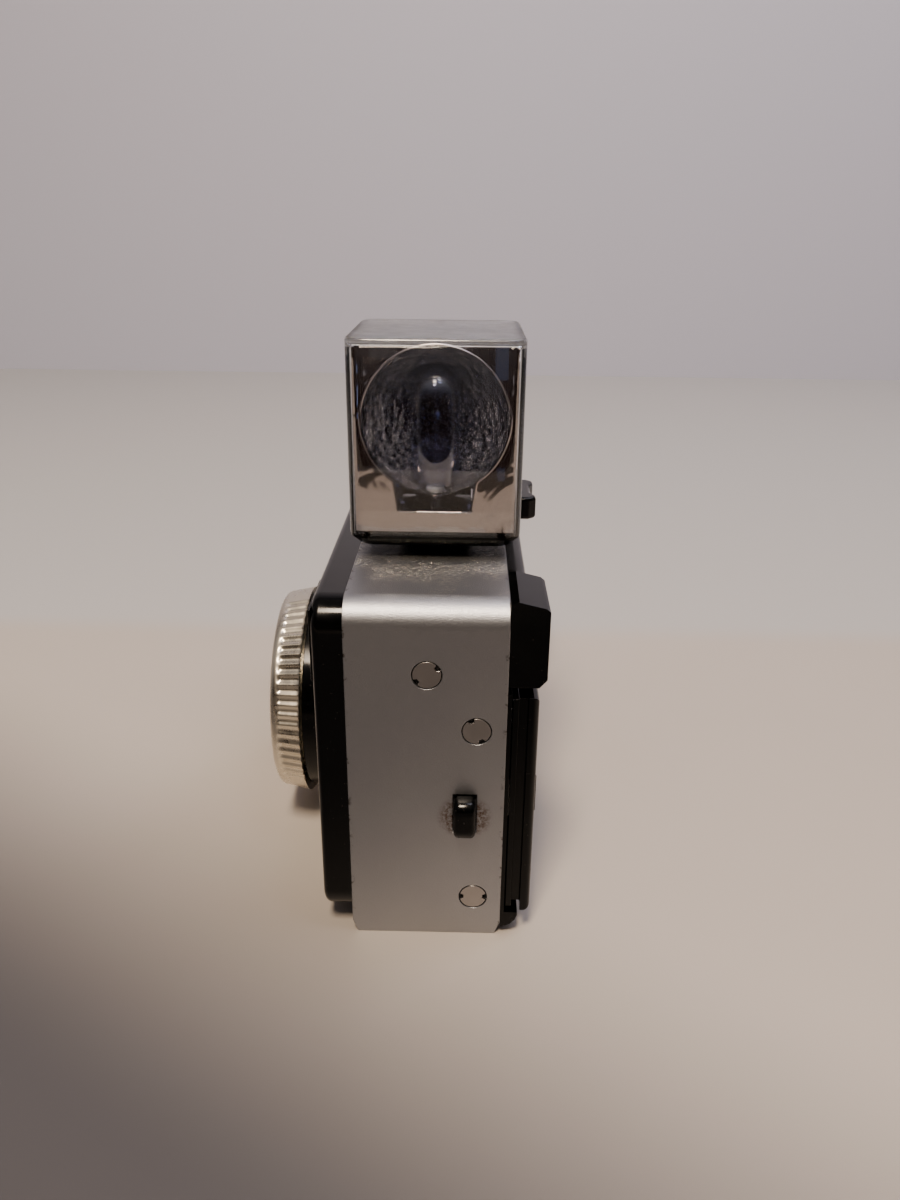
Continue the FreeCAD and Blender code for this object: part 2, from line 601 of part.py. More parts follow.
def make_film_gate():
    body = new_body("film_gate")
    x, z, half = D["lens_x"], D["lens_z"], D["gate_half"]
    wide = D["well_inner_half"] - 0.2
    pad(body, "XZ", D["gate_rear"] + 0.05, D["gate_rear"] + 0.6,
        [rect(x - wide, x + wide, 4.8, 44.0), rect(x - half, x + half, z - half, z + half)])
    rails = [rect(x - wide, x + wide, z - half - 3, z - half - 1.6),
             rect(x - wide, x + wide, z + half + 1.6, z + half + 3)]
    pad(body, "XZ", D["gate_rear"] + 0.5, D["gate_rear"] + 1.2, rails)


# ---------------------------------------------------------------- release button
def make_release_button():
    body = new_body("release_button")
    top = D["button_high"]
    turn(body, "XZ", [(0, 53.0), (1.6, 53.0), (1.6, 58.3), (5.4, 58.3), (5.4, 59.5),
                      (D["button_rad"], 59.5), (D["button_rad"], top - 0.9),
                      (D["button_rad"] - 0.9, top), (3.0, top - 0.15), (0, top - 0.5)])
    pad(body, "XY", 53.0, 54.4, [rect(-1.0, 1.0, -8.4, 0.5)])
    place(body, D["button_x"], D["button_y"])


def make_button_bracket():
    body = new_body("button_bracket")
    x, y = D["button_x"], D["button_y"]
    pad(body, "XY", 54.8, 55.3, [rect(x - 7.2, x + 7.2, y - 4.0, y + 4.0)], [(x, y, 1.9)])
    for edge in (x - 7.2, x + 6.6):
        pad(body, "XY", 55.2, D["bay_top"], [rect(edge, edge + 0.6, y - 2.0, y + 2.0)])


def make_button_spring():
    body = new_body("button_spring")
    spring = body.newObject("PartDesign::AdditiveHelix", "button_spring_helix")
    section = sketch_on(body, "XZ", circles=[(2.6, 55.6, 0.2)])
    spring.Profile = section
    spring.ReferenceAxis = (section, ["V_Axis"])
    spring.Mode = "height-turns-growth"
    spring.Height = 2.4
    spring.Turns = 3
    place(body, D["button_x"], D["button_y"])


# ---------------------------------------------------------------- film advance and cube socket
def involute_flank(pitch_rad, base_rad, radius, half_angle, side):
    """A point of a gear tooth's flank at a radius; half_angle is half the tooth at the pitch."""
    if radius < base_rad:
        radius_angle = 0.0
    else:
        pressure = math.acos(base_rad / radius)
        radius_angle = math.tan(pressure) - pressure
    pitch_pressure = math.acos(base_rad / pitch_rad)
    pitch_angle = math.tan(pitch_pressure) - pitch_pressure
    angle = side * (half_angle + pitch_angle - radius_angle)
    return radius * math.cos(angle), radius * math.sin(angle)


def gear_solid(teeth, bore, centre, low, high, first_angle):
    """Spur gear with involute flanks; the first tooth points along first_angle."""
    module = D["gear_module"].value
    pitch_rad = module * teeth / 2
    base_rad = pitch_rad * math.cos(math.radians(20))
    tip, root = pitch_rad + D["addendum"].value, pitch_rad - D["dedendum"].value
    half_angle = (math.pi * module - D["backlash"].value) / 4 / pitch_rad
    steps = 5
    start = max(root, base_rad)
    radii = [start + (tip - start) * index / steps for index in range(steps + 1)]
    if root < base_rad:
        radii.insert(0, root)
    corners = []
    for tooth in range(teeth):
        middle = first_angle + 2 * math.pi * tooth / teeth
        up = [involute_flank(pitch_rad, base_rad, radius, half_angle, -1) for radius in radii]
        down = [involute_flank(pitch_rad, base_rad, radius, half_angle, 1)
                for radius in reversed(radii)]
        for x, y in up + down:
            corners.append(FreeCAD.Vector(centre[0] + x * math.cos(middle) - y * math.sin(middle),
                                          centre[1] + x * math.sin(middle) + y * math.cos(middle),
                                          low))
    outline = Part.Face(Part.makePolygon(corners + [corners[0]]))
    solid = outline.extrude(FreeCAD.Vector(0, 0, high - low))
    return solid.cut(cylinder(bore, low - 1, high + 1, centre))


def make_gears():
    """The turntable's gear and the take-up gear; both have a tooth gap facing the rack."""
    low = D["rack_low"].value
    high = low + D["rack_thick"].value
    for name, teeth, bore, centre in (
            ("cube_gear", int(D["cube_teeth"].value), 3.0,
             (D["cube_x"].value, D["cube_y"].value)),
            ("takeup_gear", int(D["takeup_teeth"].value), 2.0,
             (TAKEUP_X.value, TAKEUP_Y.value))):
        gap_up = math.pi / 2 + math.pi / teeth
        add_shape(name, gear_solid(teeth, bore, centre, low, high, gap_up))


def make_rack():
    """Sliding rack with its teeth towards the gears and a stem out to the thumb pad."""
    body = new_body("advance_rack")
    low, high = D["rack_low"], D["rack_low"] + D["rack_thick"]
    half_pitch = GEAR_PITCH.value / 2
    slope = math.tan(math.radians(20))
    add, ded = 0.6, D["dedendum"].value
    half = half_pitch / 2 - D["backlash"].value / 4
    line = PITCH_LINE.value
    first, last = -7, 1                      # teeth counted from the cube socket's axis
    outline = []
    for tooth in list(range(-24, -15)) + list(range(first, last + 1)):
        middle = D["cube_x"].value + tooth * GEAR_PITCH.value
        outline += [(middle - half - slope * ded, line + ded), (middle - half + slope * add, line - add),
                    (middle + half - slope * add, line - add), (middle + half + slope * ded, line + ded)]
    right = outline[-1][0] + 0.4
    left = outline[0][0] - 0.4
    outline = [(left, line + ded)] + outline + [(right, line + ded), (right, line + 2.5),
                                                (left, line + 2.5)]
    pad(body, "XY", low, high, [outline])
    pad(body, "XY", low - 0.2, high, [rect(-38.5, -34.5, line + 2.4, 16.4)])


def make_advance_pad():
    body = new_body("advance_pad")
    left, right = -45.0, -28.0
    low, high = 49.5, 54.9
    pad(body, "XY", low, high,
        [[(left, 17.6), (left + 0.8, 16.5), (right - 0.8, 16.5), (right, 17.6), (right, 20.6),
          (right - 1.3, 22.2), (right - 3.0, 22.2), (right - 5.0, 21.2), (left + 5.0, 21.2),
          (left + 3.0, 22.2), (left + 1.3, 22.2), (left, 20.6)]])
    fillet(body, 0.9, lambda p: near(p.z, high) or near(p.z, low))


def make_takeup_spindle():
    body = new_body("takeup_spindle")
    turn(body, "XZ", [(0, 41.0), (2.4, 41.0), (2.4, 52.2), (2.0, 52.2), (2.0, 56.0), (0, 56.0)])
    pad(body, "XY", 41.0, 45.0, [rect(-3.6, 3.6, -0.6, 0.6)])
    pad(body, "XY", 41.0, 45.0, [rect(-0.6, 0.6, -3.6, 3.6)])
    place(body, TAKEUP_X, TAKEUP_Y)


def make_turntable():
    body = new_body("cube_turntable")
    top = D["cube_low"] - 0.1
    post = D["post_rad"] + 0.3
    turn(body, "XZ", [(0, 46.1), (3.0, 46.1), (3.0, 54.6), (5.0, 54.6), (5.0, 62.5),
                      (D["socket_rad"], 62.5), (D["socket_rad"], top), (post, top),
                      (post, D["post_low"] - 0.2), (0, D["post_low"] - 0.2)])
    place(body, D["cube_x"], D["cube_y"])
    collar = new_body("socket_collar")
    turn(collar, "XZ", [(5.25, 61.4), (D["collar_rad"], 61.4), (D["collar_rad"], 62.2),
                        (D["collar_rad"] - 0.2, 62.4), (5.25, 62.4)])
    place(collar, D["cube_x"], D["cube_y"])


QUARTERS = ((0, -1), (1, 0), (0, 1), (-1, 0))     # where the four bulbs stand about the axis
SLOT_LOW = D["bulb_low"] - 0.8


def cube_body(name):
    body = new_body(name)
    place(body, D["cube_x"], D["cube_y"])
    return body


def square(half):
    half = as_size(half)
    return rect(-half, half, -half, half)


def make_cube_base():
    body = cube_body("cube_base")
    low, high = D["cube_low"], D["cover_low"]
    lower = sketch_on(body, "XY", [square(D["base_foot_half"])], offset=low)
    upper = sketch_on(body, "XY", [square(D["base_half"])], offset=low + 1.5)
    taper = body.newObject("PartDesign::AdditiveLoft", "cube_base_taper")
    taper.Profile = lower
    taper.Sections = [upper]
    taper.Ruled = True
    doc.recompute()
    pad(body, "XY", low + 1.4, high, [square(D["base_half"])])
    pad(body, "XY", high - 0.1, high + 1.2, [square(12.7)])
    pad(body, "XY", D["post_low"], low + 0.1, circles=[(0, 0, D["post_rad"])])


def make_cube_cover():
    body = cube_body("cube_cover")
    low, high, half = D["cover_low"], D["cube_high"], D["cube_half"]
    wall = D["cover_wall"]
    pad(body, "XY", low, high, [square(half)])
    fillet(body, 3.2, lambda p: near(abs(p.x), half) and near(abs(p.y), half), "Z")
    fillet(body, 0.5, lambda p: near(p.z, high))
    pocket(body, "XY", low, high - 1.0, [square(half - wall)])


def make_cube_reflector():
    """Mirrored block with a dish and a bulb's well in each side, and a slot for its foot."""
    body = cube_body("cube_reflector")
    half, deep = D["reflector_half"], D["dish_deep"]
    low, high = D["cover_low"] + 1.3, D["cube_high"] - 1.2
    pad(body, "XY", low, high, [square(half)])
    fillet(body, 1.4, lambda p: near(abs(p.x), half) and near(abs(p.y), half), "Z")
    z = D["dish_z"]
    for side in (-1, 1):
        pocket(body, "YZ", *sorted([(half - deep) * side, half * side], key=lambda s: s.value),
               [rect(-5.0, 5.0, SLOT_LOW, 78.0)])
        pocket(body, "XZ", *sorted([(half - deep) * side, half * side], key=lambda s: s.value),
               [rect(-5.0, 5.0, SLOT_LOW, 78.0)])
        for plane in ("YZ", "XZ"):
            wide = sketch_on(body, plane, circles=[(0, z, D["dish_rad"])],
                             offset=(half + 0.02) * side)
            small = sketch_on(body, plane, circles=[(0, z, D["dish_rad"] - deep)],
                              offset=(half - deep) * side)
            dish = body.newObject("PartDesign::SubtractiveLoft", f"dish{len(body.Group)}")
            dish.Profile = wide
            dish.Sections = [small]
            doc.recompute()
    out, well_rad = D["bulb_out"], D["bulb_rad"] + 0.25
    pocket(body, "XY", SLOT_LOW, D["bulb_high"] + 0.6,
           circles=[(out * dx, out * dy, well_rad) for dx, dy in QUARTERS])
    pocket(body, "XY", low, SLOT_LOW,
           circles=[(out * dx + shift * abs(dy), out * dy + shift * abs(dx), D["wire_rad"] + 0.15)
                    for dx, dy in QUARTERS for shift in (-1.6, 1.6)])


def make_cube_bulbs():
    """Four clear bulbs, one in front of each dish, and their lead wires."""
    out, radius = D["bulb_out"], D["bulb_rad"]
    low, high = D["bulb_low"], D["bulb_high"]
    wires = []
    for index, (dx, dy) in enumerate(QUARTERS, 1):
        body = new_body(f"cube_bulb_{index}")
        turn(body, "XZ", [(0, low), (radius - 1.2, low), (radius, low + 2.0),
                          (radius, high - 5.0), (radius - 0.9, high - 2.6), (1.4, high - 0.8),
                          (0, high)])
        x, y = D["cube_x"] + out * dx, D["cube_y"] + out * dy
        place(body, x, y)
        for shift in (-1.6, 1.6):
            centre = (x.value + shift * abs(dy), y.value + shift * abs(dx))
            wires.append(cylinder(D["wire_rad"].value, D["cover_low"].value + 1.22,
                                  low.value - 0.05, centre))
    add_shape("cube_lead_wires", Part.makeCompound(wires))


# ---------------------------------------------------------------- rear door
def make_rear_door():
    body = new_body("rear_door")
    left, right = D["door_left"], D["door_right"]
    low, high = D["door_low"], D["door_high"]
    inner, outer = D["door_inner"], D["door_outer"]
    plate = outer - D["door_plate"]
    pad(body, "XZ", plate, outer, [rect(left, right, low, high)])
    fillet(body, 1.1, lambda p: near(p.y, outer))
    pad(body, "XZ", inner + 0.9, plate + 0.1, [rect(left, right - 1.4, low + 1.0, high - 0.8)])
    pad(body, "XZ", inner, inner + 1.0, [rect(left, right - 0.1, low + 0.8, high - 0.2)])
    pocket(body, "XZ", inner, plate, [rect(-47.6, 51.3, 8.0, 43.6)])
    pocket(body, "XZ", plate, outer,
           [rect(D["lens_x"] - 12, D["lens_x"] + 12, 17.2, 31.2)])
    pocket(body, "XZ", outer - 0.8, outer, [rect(40.8, 50.4, 21.5, 30.5)])
    pocket(body, "XZ", plate, outer, [rect(43.0, 48.6, 24.4, 27.6)])
    x, y = D["hinge_x"], D["hinge_y"]
    pad(body, "XY", 14.1, 37.4, [rect(x, left + 0.1, y - 1.2, y + 1.2)])
    pad(body, "XY", 14.1, 37.4, circles=[(x, y, D["hinge_rad"])])
    pocket(body, "XY", 14.1, 37.4, circles=[(x, y, D["pin_rad"] + D["running_gap"])])


def make_door_window():
    body = new_body("door_window")
    outer = D["door_outer"]
    pad(body, "XZ", outer - 1.4, outer - 0.3,
        [rect(D["lens_x"] - 11.95, D["lens_x"] + 11.95, 17.25, 31.15)])


def make_cartridge_springs():
    """Two bowed leaf springs inside the door that press the cartridge against the gate."""
    body = new_body("cartridge_springs")
    for x in (-20.0, 38.0):
        pad(body, "YZ", x - 3.0, x + 3.0,
            [[(16.05, 14.0), (16.05, 16.0), (14.2, 22.0), (13.9, 25.0), (14.2, 28.0),
              (16.05, 34.0), (16.05, 36.0), (15.75, 36.0), (15.75, 33.8), (14.0, 28.0),
              (13.7, 25.0), (14.0, 22.0), (15.75, 16.2), (15.75, 14.0)]])


def make_door_latch():
    body = new_body("door_latch")
    outer = D["door_outer"]
    pad(body, "XZ", outer - 0.72, outer, [rect(43.2, 50.2, 21.9, 30.1)])
    for x in (44.4, 46.0, 47.6, 49.2):
        pad(body, "XZ", outer - 0.1, outer + 0.45, [rect(x - 0.3, x + 0.3, 22.6, 29.4)])
    pad(body, "XZ", 15.2, outer - 0.7, [rect(45.4, 48.4, 24.6, 27.4)])
    pad(body, "XZ", 14.5, 15.3, [rect(45.4, 50.1, 24.6, 27.4)])


# ---------------------------------------------------------------- batteries
def make_batteries():
    low = as_size(1.9)
    for index, side in enumerate((-1, 1), 1):
        cell = new_body(f"battery_{index}")
        tall, radius = D["cell_tall"], D["cell_rad"]
        turn(cell, "XZ", [(0, low), (radius, low), (radius, low + tall - 1.3),
                          (1.9, low + tall - 1.3), (1.9, low + tall), (0, low + tall)])
        place(cell, D["cell_x"], D["cell_offset"] * side)
    contacts = new_body("battery_contacts")
    x = D["cell_x"]
    pad(contacts, "XY", 1.3, 1.8, [rect(x - 5.0, x + 5.0, -10.5, 10.5)])
    for side in (-1, 1):
        y = D["cell_offset"] * side
        pad(contacts, "XY", 47.0, 48.5, [rect(x - 4.5, x + 4.5, y - 4.5, y + 4.5)])


make_chassis()
make_silver_band()
make_front_panel()
make_front_leatherette()
make_finder()
make_rear_upper_housing()
make_rear_frame()
make_hinge_pin()
make_door_catch()
make_end_screws("end_screws_right", 1)
make_end_screws("end_screws_left", -1)
make_strap_lug()
make_tripod_bush()
make_lens_base()
make_setting_ring()
make_lens()
make_aperture_plate()
make_shutter()
make_light_tunnel()
make_film_gate()
make_release_button()
make_button_bracket()
make_button_spring()
make_gears()
make_rack()
make_advance_pad()
make_takeup_spindle()
make_turntable()
make_cube_base()
make_cube_cover()
make_cube_reflector()
make_cube_bulbs()
make_rear_door()
make_door_window()
make_cartridge_springs()
make_door_latch()
make_batteries()

doc.recompute()
for item in doc.Objects:
    if "Invalid" in item.State or "Error" in item.State:
        raise RuntimeError(f"{item.Name} failed: {item.State}")
for item in SUBPARTS:
    if item.Shape.isNull() or not item.Shape.isValid():
        raise RuntimeError(f"{item.Label} has no valid shape")
for item in SUBPARTS:
    item.Shape.exportStep(f"parts/{item.Label}.step")
print(len(SUBPARTS), "sub-parts written")
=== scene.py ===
# %% [markdown]
# A pocket camera for drop-in film cartridges, with a plug-in flash cube. The solid parts come from
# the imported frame, which is fixed. This script makes what the eye sees: it copies and softens the
# plain parts, builds the fluted ring, the flash cube and the screws, and gives each a real finish.

# %% Load the frame
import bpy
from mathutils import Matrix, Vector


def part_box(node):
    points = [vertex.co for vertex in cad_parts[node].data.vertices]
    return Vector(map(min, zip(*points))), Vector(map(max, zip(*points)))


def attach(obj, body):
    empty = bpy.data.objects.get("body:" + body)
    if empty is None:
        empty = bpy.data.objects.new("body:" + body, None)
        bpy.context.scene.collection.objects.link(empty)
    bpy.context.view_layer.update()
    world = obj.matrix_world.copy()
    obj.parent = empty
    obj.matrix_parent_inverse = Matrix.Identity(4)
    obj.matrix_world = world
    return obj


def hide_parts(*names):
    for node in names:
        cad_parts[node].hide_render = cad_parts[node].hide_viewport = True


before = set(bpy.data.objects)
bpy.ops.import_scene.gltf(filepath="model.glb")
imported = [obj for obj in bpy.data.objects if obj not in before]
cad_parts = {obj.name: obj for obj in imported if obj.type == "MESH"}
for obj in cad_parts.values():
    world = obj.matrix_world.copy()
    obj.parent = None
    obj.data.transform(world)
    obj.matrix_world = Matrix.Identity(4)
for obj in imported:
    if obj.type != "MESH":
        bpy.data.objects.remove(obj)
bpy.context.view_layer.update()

import math

import bmesh
import bpy
from mathutils import Matrix, Vector, noise

MM = 0.001

# %% [markdown]
# The camera comes first, so that every later step can be checked from the same place. It stands
# a hand's breadth from the end of the body, a little above the flash cube, and looks down.

# %% The camera
EYE = Vector((180.85, 5.62, 115.62)) * MM
LOOK_DOWN = math.radians(22.58)
HEADING = math.radians(90.92)
ROLL = math.radians(0.59)
LENS_MM = 27.74

camera_data = bpy.data.cameras.new("camera")
camera_data.lens = LENS_MM
camera = bpy.data.objects.new("camera", camera_data)
bpy.context.scene.collection.objects.link(camera)
aim = Matrix.Rotation(HEADING, 4, "Z") @ Matrix.Rotation(math.pi / 2 - LOOK_DOWN, 4, "X")
camera.matrix_world = Matrix.Translation(EYE) @ aim @ Matrix.Rotation(ROLL, 4, "Z")
bpy.context.scene.camera = camera
print("camera at", [round(v, 4) for v in camera.location])

# %% [markdown]
# A few small helpers serve every material and every geometry tree. `colour` turns a colour as a
# painter writes it, a hex value in sRGB, into the linear numbers that a shader wants. `add` adds
# one node with its settings and its inputs, whether an input is a number or a link. The others
# are the few nodes that most of the finishes below are made of.

# %% Helpers for colours and nodes
def colour(hex_value, alpha=1.0):
    """sRGB hex to linear red, green, blue and alpha."""
    channels = [int(hex_value[i:i + 2], 16) / 255 for i in (1, 3, 5)]
    return [c / 12.92 if c <= 0.04045 else ((c + 0.055) / 1.055) ** 2.4 for c in channels] + [alpha]


def add(tree, kind, settings=None, inputs=None):
    """Add one node; each input is a value or another node's output."""
    node = tree.nodes.new(kind)
    for name, value in (settings or {}).items():
        setattr(node, name, value)
    for name, value in (inputs or {}).items():
        if isinstance(value, bpy.types.NodeSocket):
            tree.links.new(value, node.inputs[name])
        else:
            node.inputs[name].default_value = value
    return node


def new_finish(name, base, metallic, roughness, **sockets):
    """A material with one Principled shader, its constant values set on the sockets."""
    material = bpy.data.materials.new(name)
    material.use_nodes = True
    shader = material.node_tree.nodes["Principled BSDF"]
    shader.inputs["Base Color"].default_value = colour(base)
    shader.inputs["Metallic"].default_value = metallic
    shader.inputs["Roughness"].default_value = roughness
    for socket, value in sockets.items():
        shader.inputs[socket.replace("_", " ")].default_value = value
    return material, material.node_tree, shader


def per_mm(size_mm):
    """Noise or wave scale for a feature of that size, on coordinates in metres."""
    return 1 / (size_mm * MM)


def here(tree):
    """The point on the surface, in metres in the object's own frame."""
    return add(tree, "ShaderNodeTexCoord").outputs["Object"]


def noise_of(tree, place, size_mm, detail=2.0, roughness=0.5, distortion=0.0):
    """Soft noise from 0 to 1 with patches of that size."""
    return add(tree, "ShaderNodeTexNoise", None,
               {"Vector": place, "Scale": per_mm(size_mm), "Detail": detail,
                "Roughness": roughness, "Distortion": distortion}).outputs["Fac"]


def ramp(tree, value, start, end, low=0.0, high=1.0, kind="LINEAR"):
    """Carry start to low and end to high, and hold both beyond them."""
    return add(tree, "ShaderNodeMapRange", {"interpolation_type": kind},
               {"Value": value, "From Min": start, "From Max": end,
                "To Min": low, "To Max": high}).outputs["Result"]


def soft_ramp(tree, value, start, end, low=0.0, high=1.0):
    return ramp(tree, value, start, end, low, high, "SMOOTHSTEP")


def blend(tree, share, first, second):
    """A colour between two, each a hex value or another node's output."""
    first, second = (colour(c) if isinstance(c, str) else c for c in (first, second))
    return add(tree, "ShaderNodeMix", {"data_type": "RGBA"},
               {"Factor": share, 6: first, 7: second}).outputs[2]


def times(tree, *factors):
    """The product of several outputs."""
    product = factors[0]
    for factor in factors[1:]:
        product = add(tree, "ShaderNodeMath", {"operation": "MULTIPLY"},
                      {0: product, 1: factor}).outputs[0]
    return product


def raised(tree, height, strength, depth_mm, **below):
    """A bump that deep; below is the normal of another bump that it lies on."""
    return add(tree, "ShaderNodeBump", None,
               {"Height": height, "Strength": strength, "Distance": depth_mm * MM,
                **below}).outputs["Normal"]


def wire(tree, shader, **inputs):
    """Link outputs to the shader's inputs of those names."""
    for name, output in inputs.items():
        tree.links.new(output, shader.inputs[name.replace("_", " ")])


# %% [markdown]
# Most of the outside is black ABS, moulded against a polished tool. It gives a deep black with a
# clear reflection, broken by faint finger smears and by dust that shows as small pale specks.
# The smears vary the roughness over a few millimetres, and a very shallow bump keeps the
# reflections from being perfect.

# %% Finish: gloss black ABS
def make_gloss_black():
    material, tree, shader = new_finish("gloss_black_abs", "#020202", 0.0, 0.14, IOR=1.45,
                                        Specular_IOR_Level=0.22)
    place = here(tree)
    smear = noise_of(tree, place, 9, detail=3.0, roughness=0.6)
    speck = ramp(tree, noise_of(tree, place, 0.5, detail=1.0), 0.74, 0.78, high=0.5)
    wire(tree, shader, Roughness=ramp(tree, smear, 0.35, 0.7, 0.08, 0.24),
         Base_Color=blend(tree, speck, "#020202", "#3c3937"),
         Normal=raised(tree, noise_of(tree, place, 5), 0.12, 0.06))
    return material


GLOSS_BLACK = make_gloss_black()
print("made", GLOSS_BLACK.name)

# %% [markdown]
# The inner frame, the gears' bearings and the film chamber are the same plastic from a textured
# tool, so they are matt and slightly grey. A fine bump of about 0.2 mm stands for the spark-eroded
# texture; the real one is finer, and would not show.

# %% Finish: matt black ABS, leatherette and matt paint
def make_grained_black(name, base, roughness, grain_mm, depth_mm):
    material, tree, shader = new_finish(name, base, 0.0, roughness)
    place = here(tree)
    grain = add(tree, "ShaderNodeTexVoronoi", {"feature": "F1"},
                {"Vector": place, "Scale": per_mm(grain_mm)})
    fine = noise_of(tree, place, grain_mm * 3, detail=3.0)
    wire(tree, shader, Base_Color=blend(tree, fine, base, "#26262a"),
         Normal=raised(tree, grain.outputs["Distance"], 0.7, depth_mm))
    return material


MATT_BLACK = make_grained_black("textured_black_abs", "#121214", 0.55, 0.3, 0.05)
LEATHERETTE = make_grained_black("black_leatherette", "#0e0e10", 0.42, 0.9, 0.22)
MATT_PAINT = make_grained_black("matt_black_paint", "#0c0c0d", 0.7, 0.2, 0.02)
print("made", MATT_BLACK.name, LEATHERETTE.name, MATT_PAINT.name)

# %% [markdown]
# The wrap is aluminium sheet, bead-blasted and anodised in its natural colour. Blasting gives a
# soft grey with a fine sparkle instead of streaks. Years of use have scraped its top where cubes
# were plugged in, nicked its long edges down to bright metal, and left two brown arcs where the
# strap rubbed beside its lug. Each of these is a mask worked out from the distance to the place.

# %% Finish: satin anodised aluminium
HALF_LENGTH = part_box("silver_band")[1].x
HALF_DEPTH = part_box("silver_band")[1].y
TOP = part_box("silver_band")[1].z
lug_low, lug_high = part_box("strap_lug")
LUG_MIDDLE = (lug_low + lug_high) / 2
cube_low, cube_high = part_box("cube_cover")
CUBE_MIDDLE = (cube_low + cube_high) / 2


def scrape_pattern(tree, place):
    """Long thin marks that lie askew across the wrap."""
    stretched = add(tree, "ShaderNodeMapping", None,
                    {"Vector": place, "Rotation": (0.0, 0.0, math.radians(28)),
                     "Scale": (2.6, 0.7, 1.0)})
    return noise_of(tree, stretched.outputs["Vector"], 0.55, detail=4.0, roughness=0.75,
                    distortion=0.1)


def scrape_mask(tree, place, split, pattern):
    """Marks on the top only, thickest in front of the cube."""
    on_top = ramp(tree, split.outputs["Z"], TOP - 0.5 * MM, TOP)
    from_cube = add(tree, "ShaderNodeVectorMath", {"operation": "DISTANCE"},
                    {0: place, 1: (CUBE_MIDDLE.x, CUBE_MIDDLE.y, TOP)})
    near_cube = soft_ramp(tree, from_cube.outputs["Value"], 27 * MM, 19 * MM, high=0.35)
    wear = add(tree, "ShaderNodeMath", {"operation": "ADD"},
               {0: noise_of(tree, place, 6, detail=3.0), 1: near_cube})
    worn = ramp(tree, wear.outputs[0], 0.55, 0.85)
    return times(tree, ramp(tree, pattern, 0.5, 0.6), on_top, worn)


def nick_mask(tree, place, split):
    """Broken metal within half a millimetre of the long edges."""
    across = add(tree, "ShaderNodeMath", {"operation": "ABSOLUTE"}, {0: split.outputs["Y"]})
    edge = ramp(tree, across.outputs[0], HALF_DEPTH - 0.7 * MM, HALF_DEPTH - 0.1 * MM)
    chip = noise_of(tree, place, 1.6, detail=4.0, roughness=0.7)
    return times(tree, edge, ramp(tree, chip, 0.55, 0.62))


def strap_wear_mask(tree, place, split):
    """Arcs rubbed by the strap at both sides of the lug, on the end face only."""
    lug_z = LUG_MIDDLE.z - 0.7 * MM
    flat = add(tree, "ShaderNodeCombineXYZ", None,
               {"X": 0.0, "Y": split.outputs["Y"], "Z": split.outputs["Z"]})
    away = add(tree, "ShaderNodeVectorMath", {"operation": "DISTANCE"},
               {0: flat.outputs["Vector"], 1: (0.0, LUG_MIDDLE.y, lug_z)})
    arc = soft_ramp(tree, away.outputs["Value"], 5.0 * MM, 2.8 * MM)
    rise = add(tree, "ShaderNodeMath", {"operation": "SUBTRACT"},
               {0: split.outputs["Z"], 1: lug_z})
    height = add(tree, "ShaderNodeMath", {"operation": "ABSOLUTE"}, {0: rise.outputs[0]})
    beside = ramp(tree, height.outputs[0], 4.6 * MM, 2.6 * MM)
    on_end = ramp(tree, split.outputs["X"], HALF_LENGTH - 0.3 * MM, HALF_LENGTH - 0.1 * MM)
    rub = noise_of(tree, place, 0.7, detail=5.0, roughness=0.8)
    return times(tree, arc, beside, on_end, ramp(tree, rub, 0.40, 0.60))


def make_satin_aluminium():
    material, tree, shader = new_finish("satin_anodised_aluminium", "#a6a19d", 1.0, 0.36)
    place = here(tree)
    split = add(tree, "ShaderNodeSeparateXYZ", None, {"Vector": place})
    pattern = scrape_pattern(tree, place)
    scraped = scrape_mask(tree, place, split, pattern)
    base = blend(tree, noise_of(tree, place, 14), "#97989d", "#a3a4a7")
    base = blend(tree, nick_mask(tree, place, split), base, "#5d5a57")
    base = blend(tree, scraped, base, "#e6e0cf")
    base = blend(tree, strap_wear_mask(tree, place, split), base, "#5a4436")
    sparkle = noise_of(tree, place, 0.22, roughness=0.7)
    polished = add(tree, "ShaderNodeMix", {"data_type": "FLOAT"},
                   {"Factor": scraped, 2: ramp(tree, sparkle, 0.3, 0.7, 0.34, 0.46), 3: 0.22})
    grain = raised(tree, sparkle, 0.7, 0.06)
    gouges = raised(tree, times(tree, pattern, scraped), 0.6, 0.05, Normal=grain)
    wire(tree, shader, Base_Color=base, Roughness=polished.outputs[0], Normal=gouges)
    return material


SATIN_ALUMINIUM = make_satin_aluminium()
print("made", SATIN_ALUMINIUM.name)

# %% [markdown]
# The ring round the lens is turned aluminium, polished and clear anodised, so it is brighter and
# warmer than the wrap. Turning leaves very fine circles about the lens axis, which stretch each
# highlight sideways. A wave on the distance from that axis draws them, coarser than the real 0.05 mm.

# %% Finish: turned metals
ring_low, ring_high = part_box("setting_ring")
LENS = (ring_low + ring_high) / 2


def make_turned_metal(name, base, roughness, groove_mm):
    material, tree, shader = new_finish(name, base, 1.0, roughness)
    place = here(tree)
    centred = add(tree, "ShaderNodeMapping", None,
                  {"Vector": place, "Location": (-LENS.x, 0.0, -LENS.z)})
    turned = add(tree, "ShaderNodeTexWave",
                 {"wave_type": "RINGS", "rings_direction": "Y"},
                 {"Vector": centred.outputs["Vector"], "Scale": per_mm(groove_mm) / 20,
                  "Distortion": 0.3, "Detail": 2.0})
    grime = noise_of(tree, place, 4, detail=4.0, roughness=0.65)
    wire(tree, shader,
         Roughness=ramp(tree, grime, 0.3, 0.75, roughness - 0.06, roughness + 0.14),
         Normal=raised(tree, turned.outputs["Fac"], 0.06, 0.02))
    return material


RING_METAL = make_turned_metal("polished_turned_aluminium", "#e0d8c6", 0.27, 0.3)
STEEL = make_turned_metal("satin_zinc_steel", "#9c9896", 0.34, 0.3)
BRASS = make_turned_metal("turned_brass", "#b3905a", 0.3, 0.3)
print("made", RING_METAL.name, STEEL.name, BRASS.name)

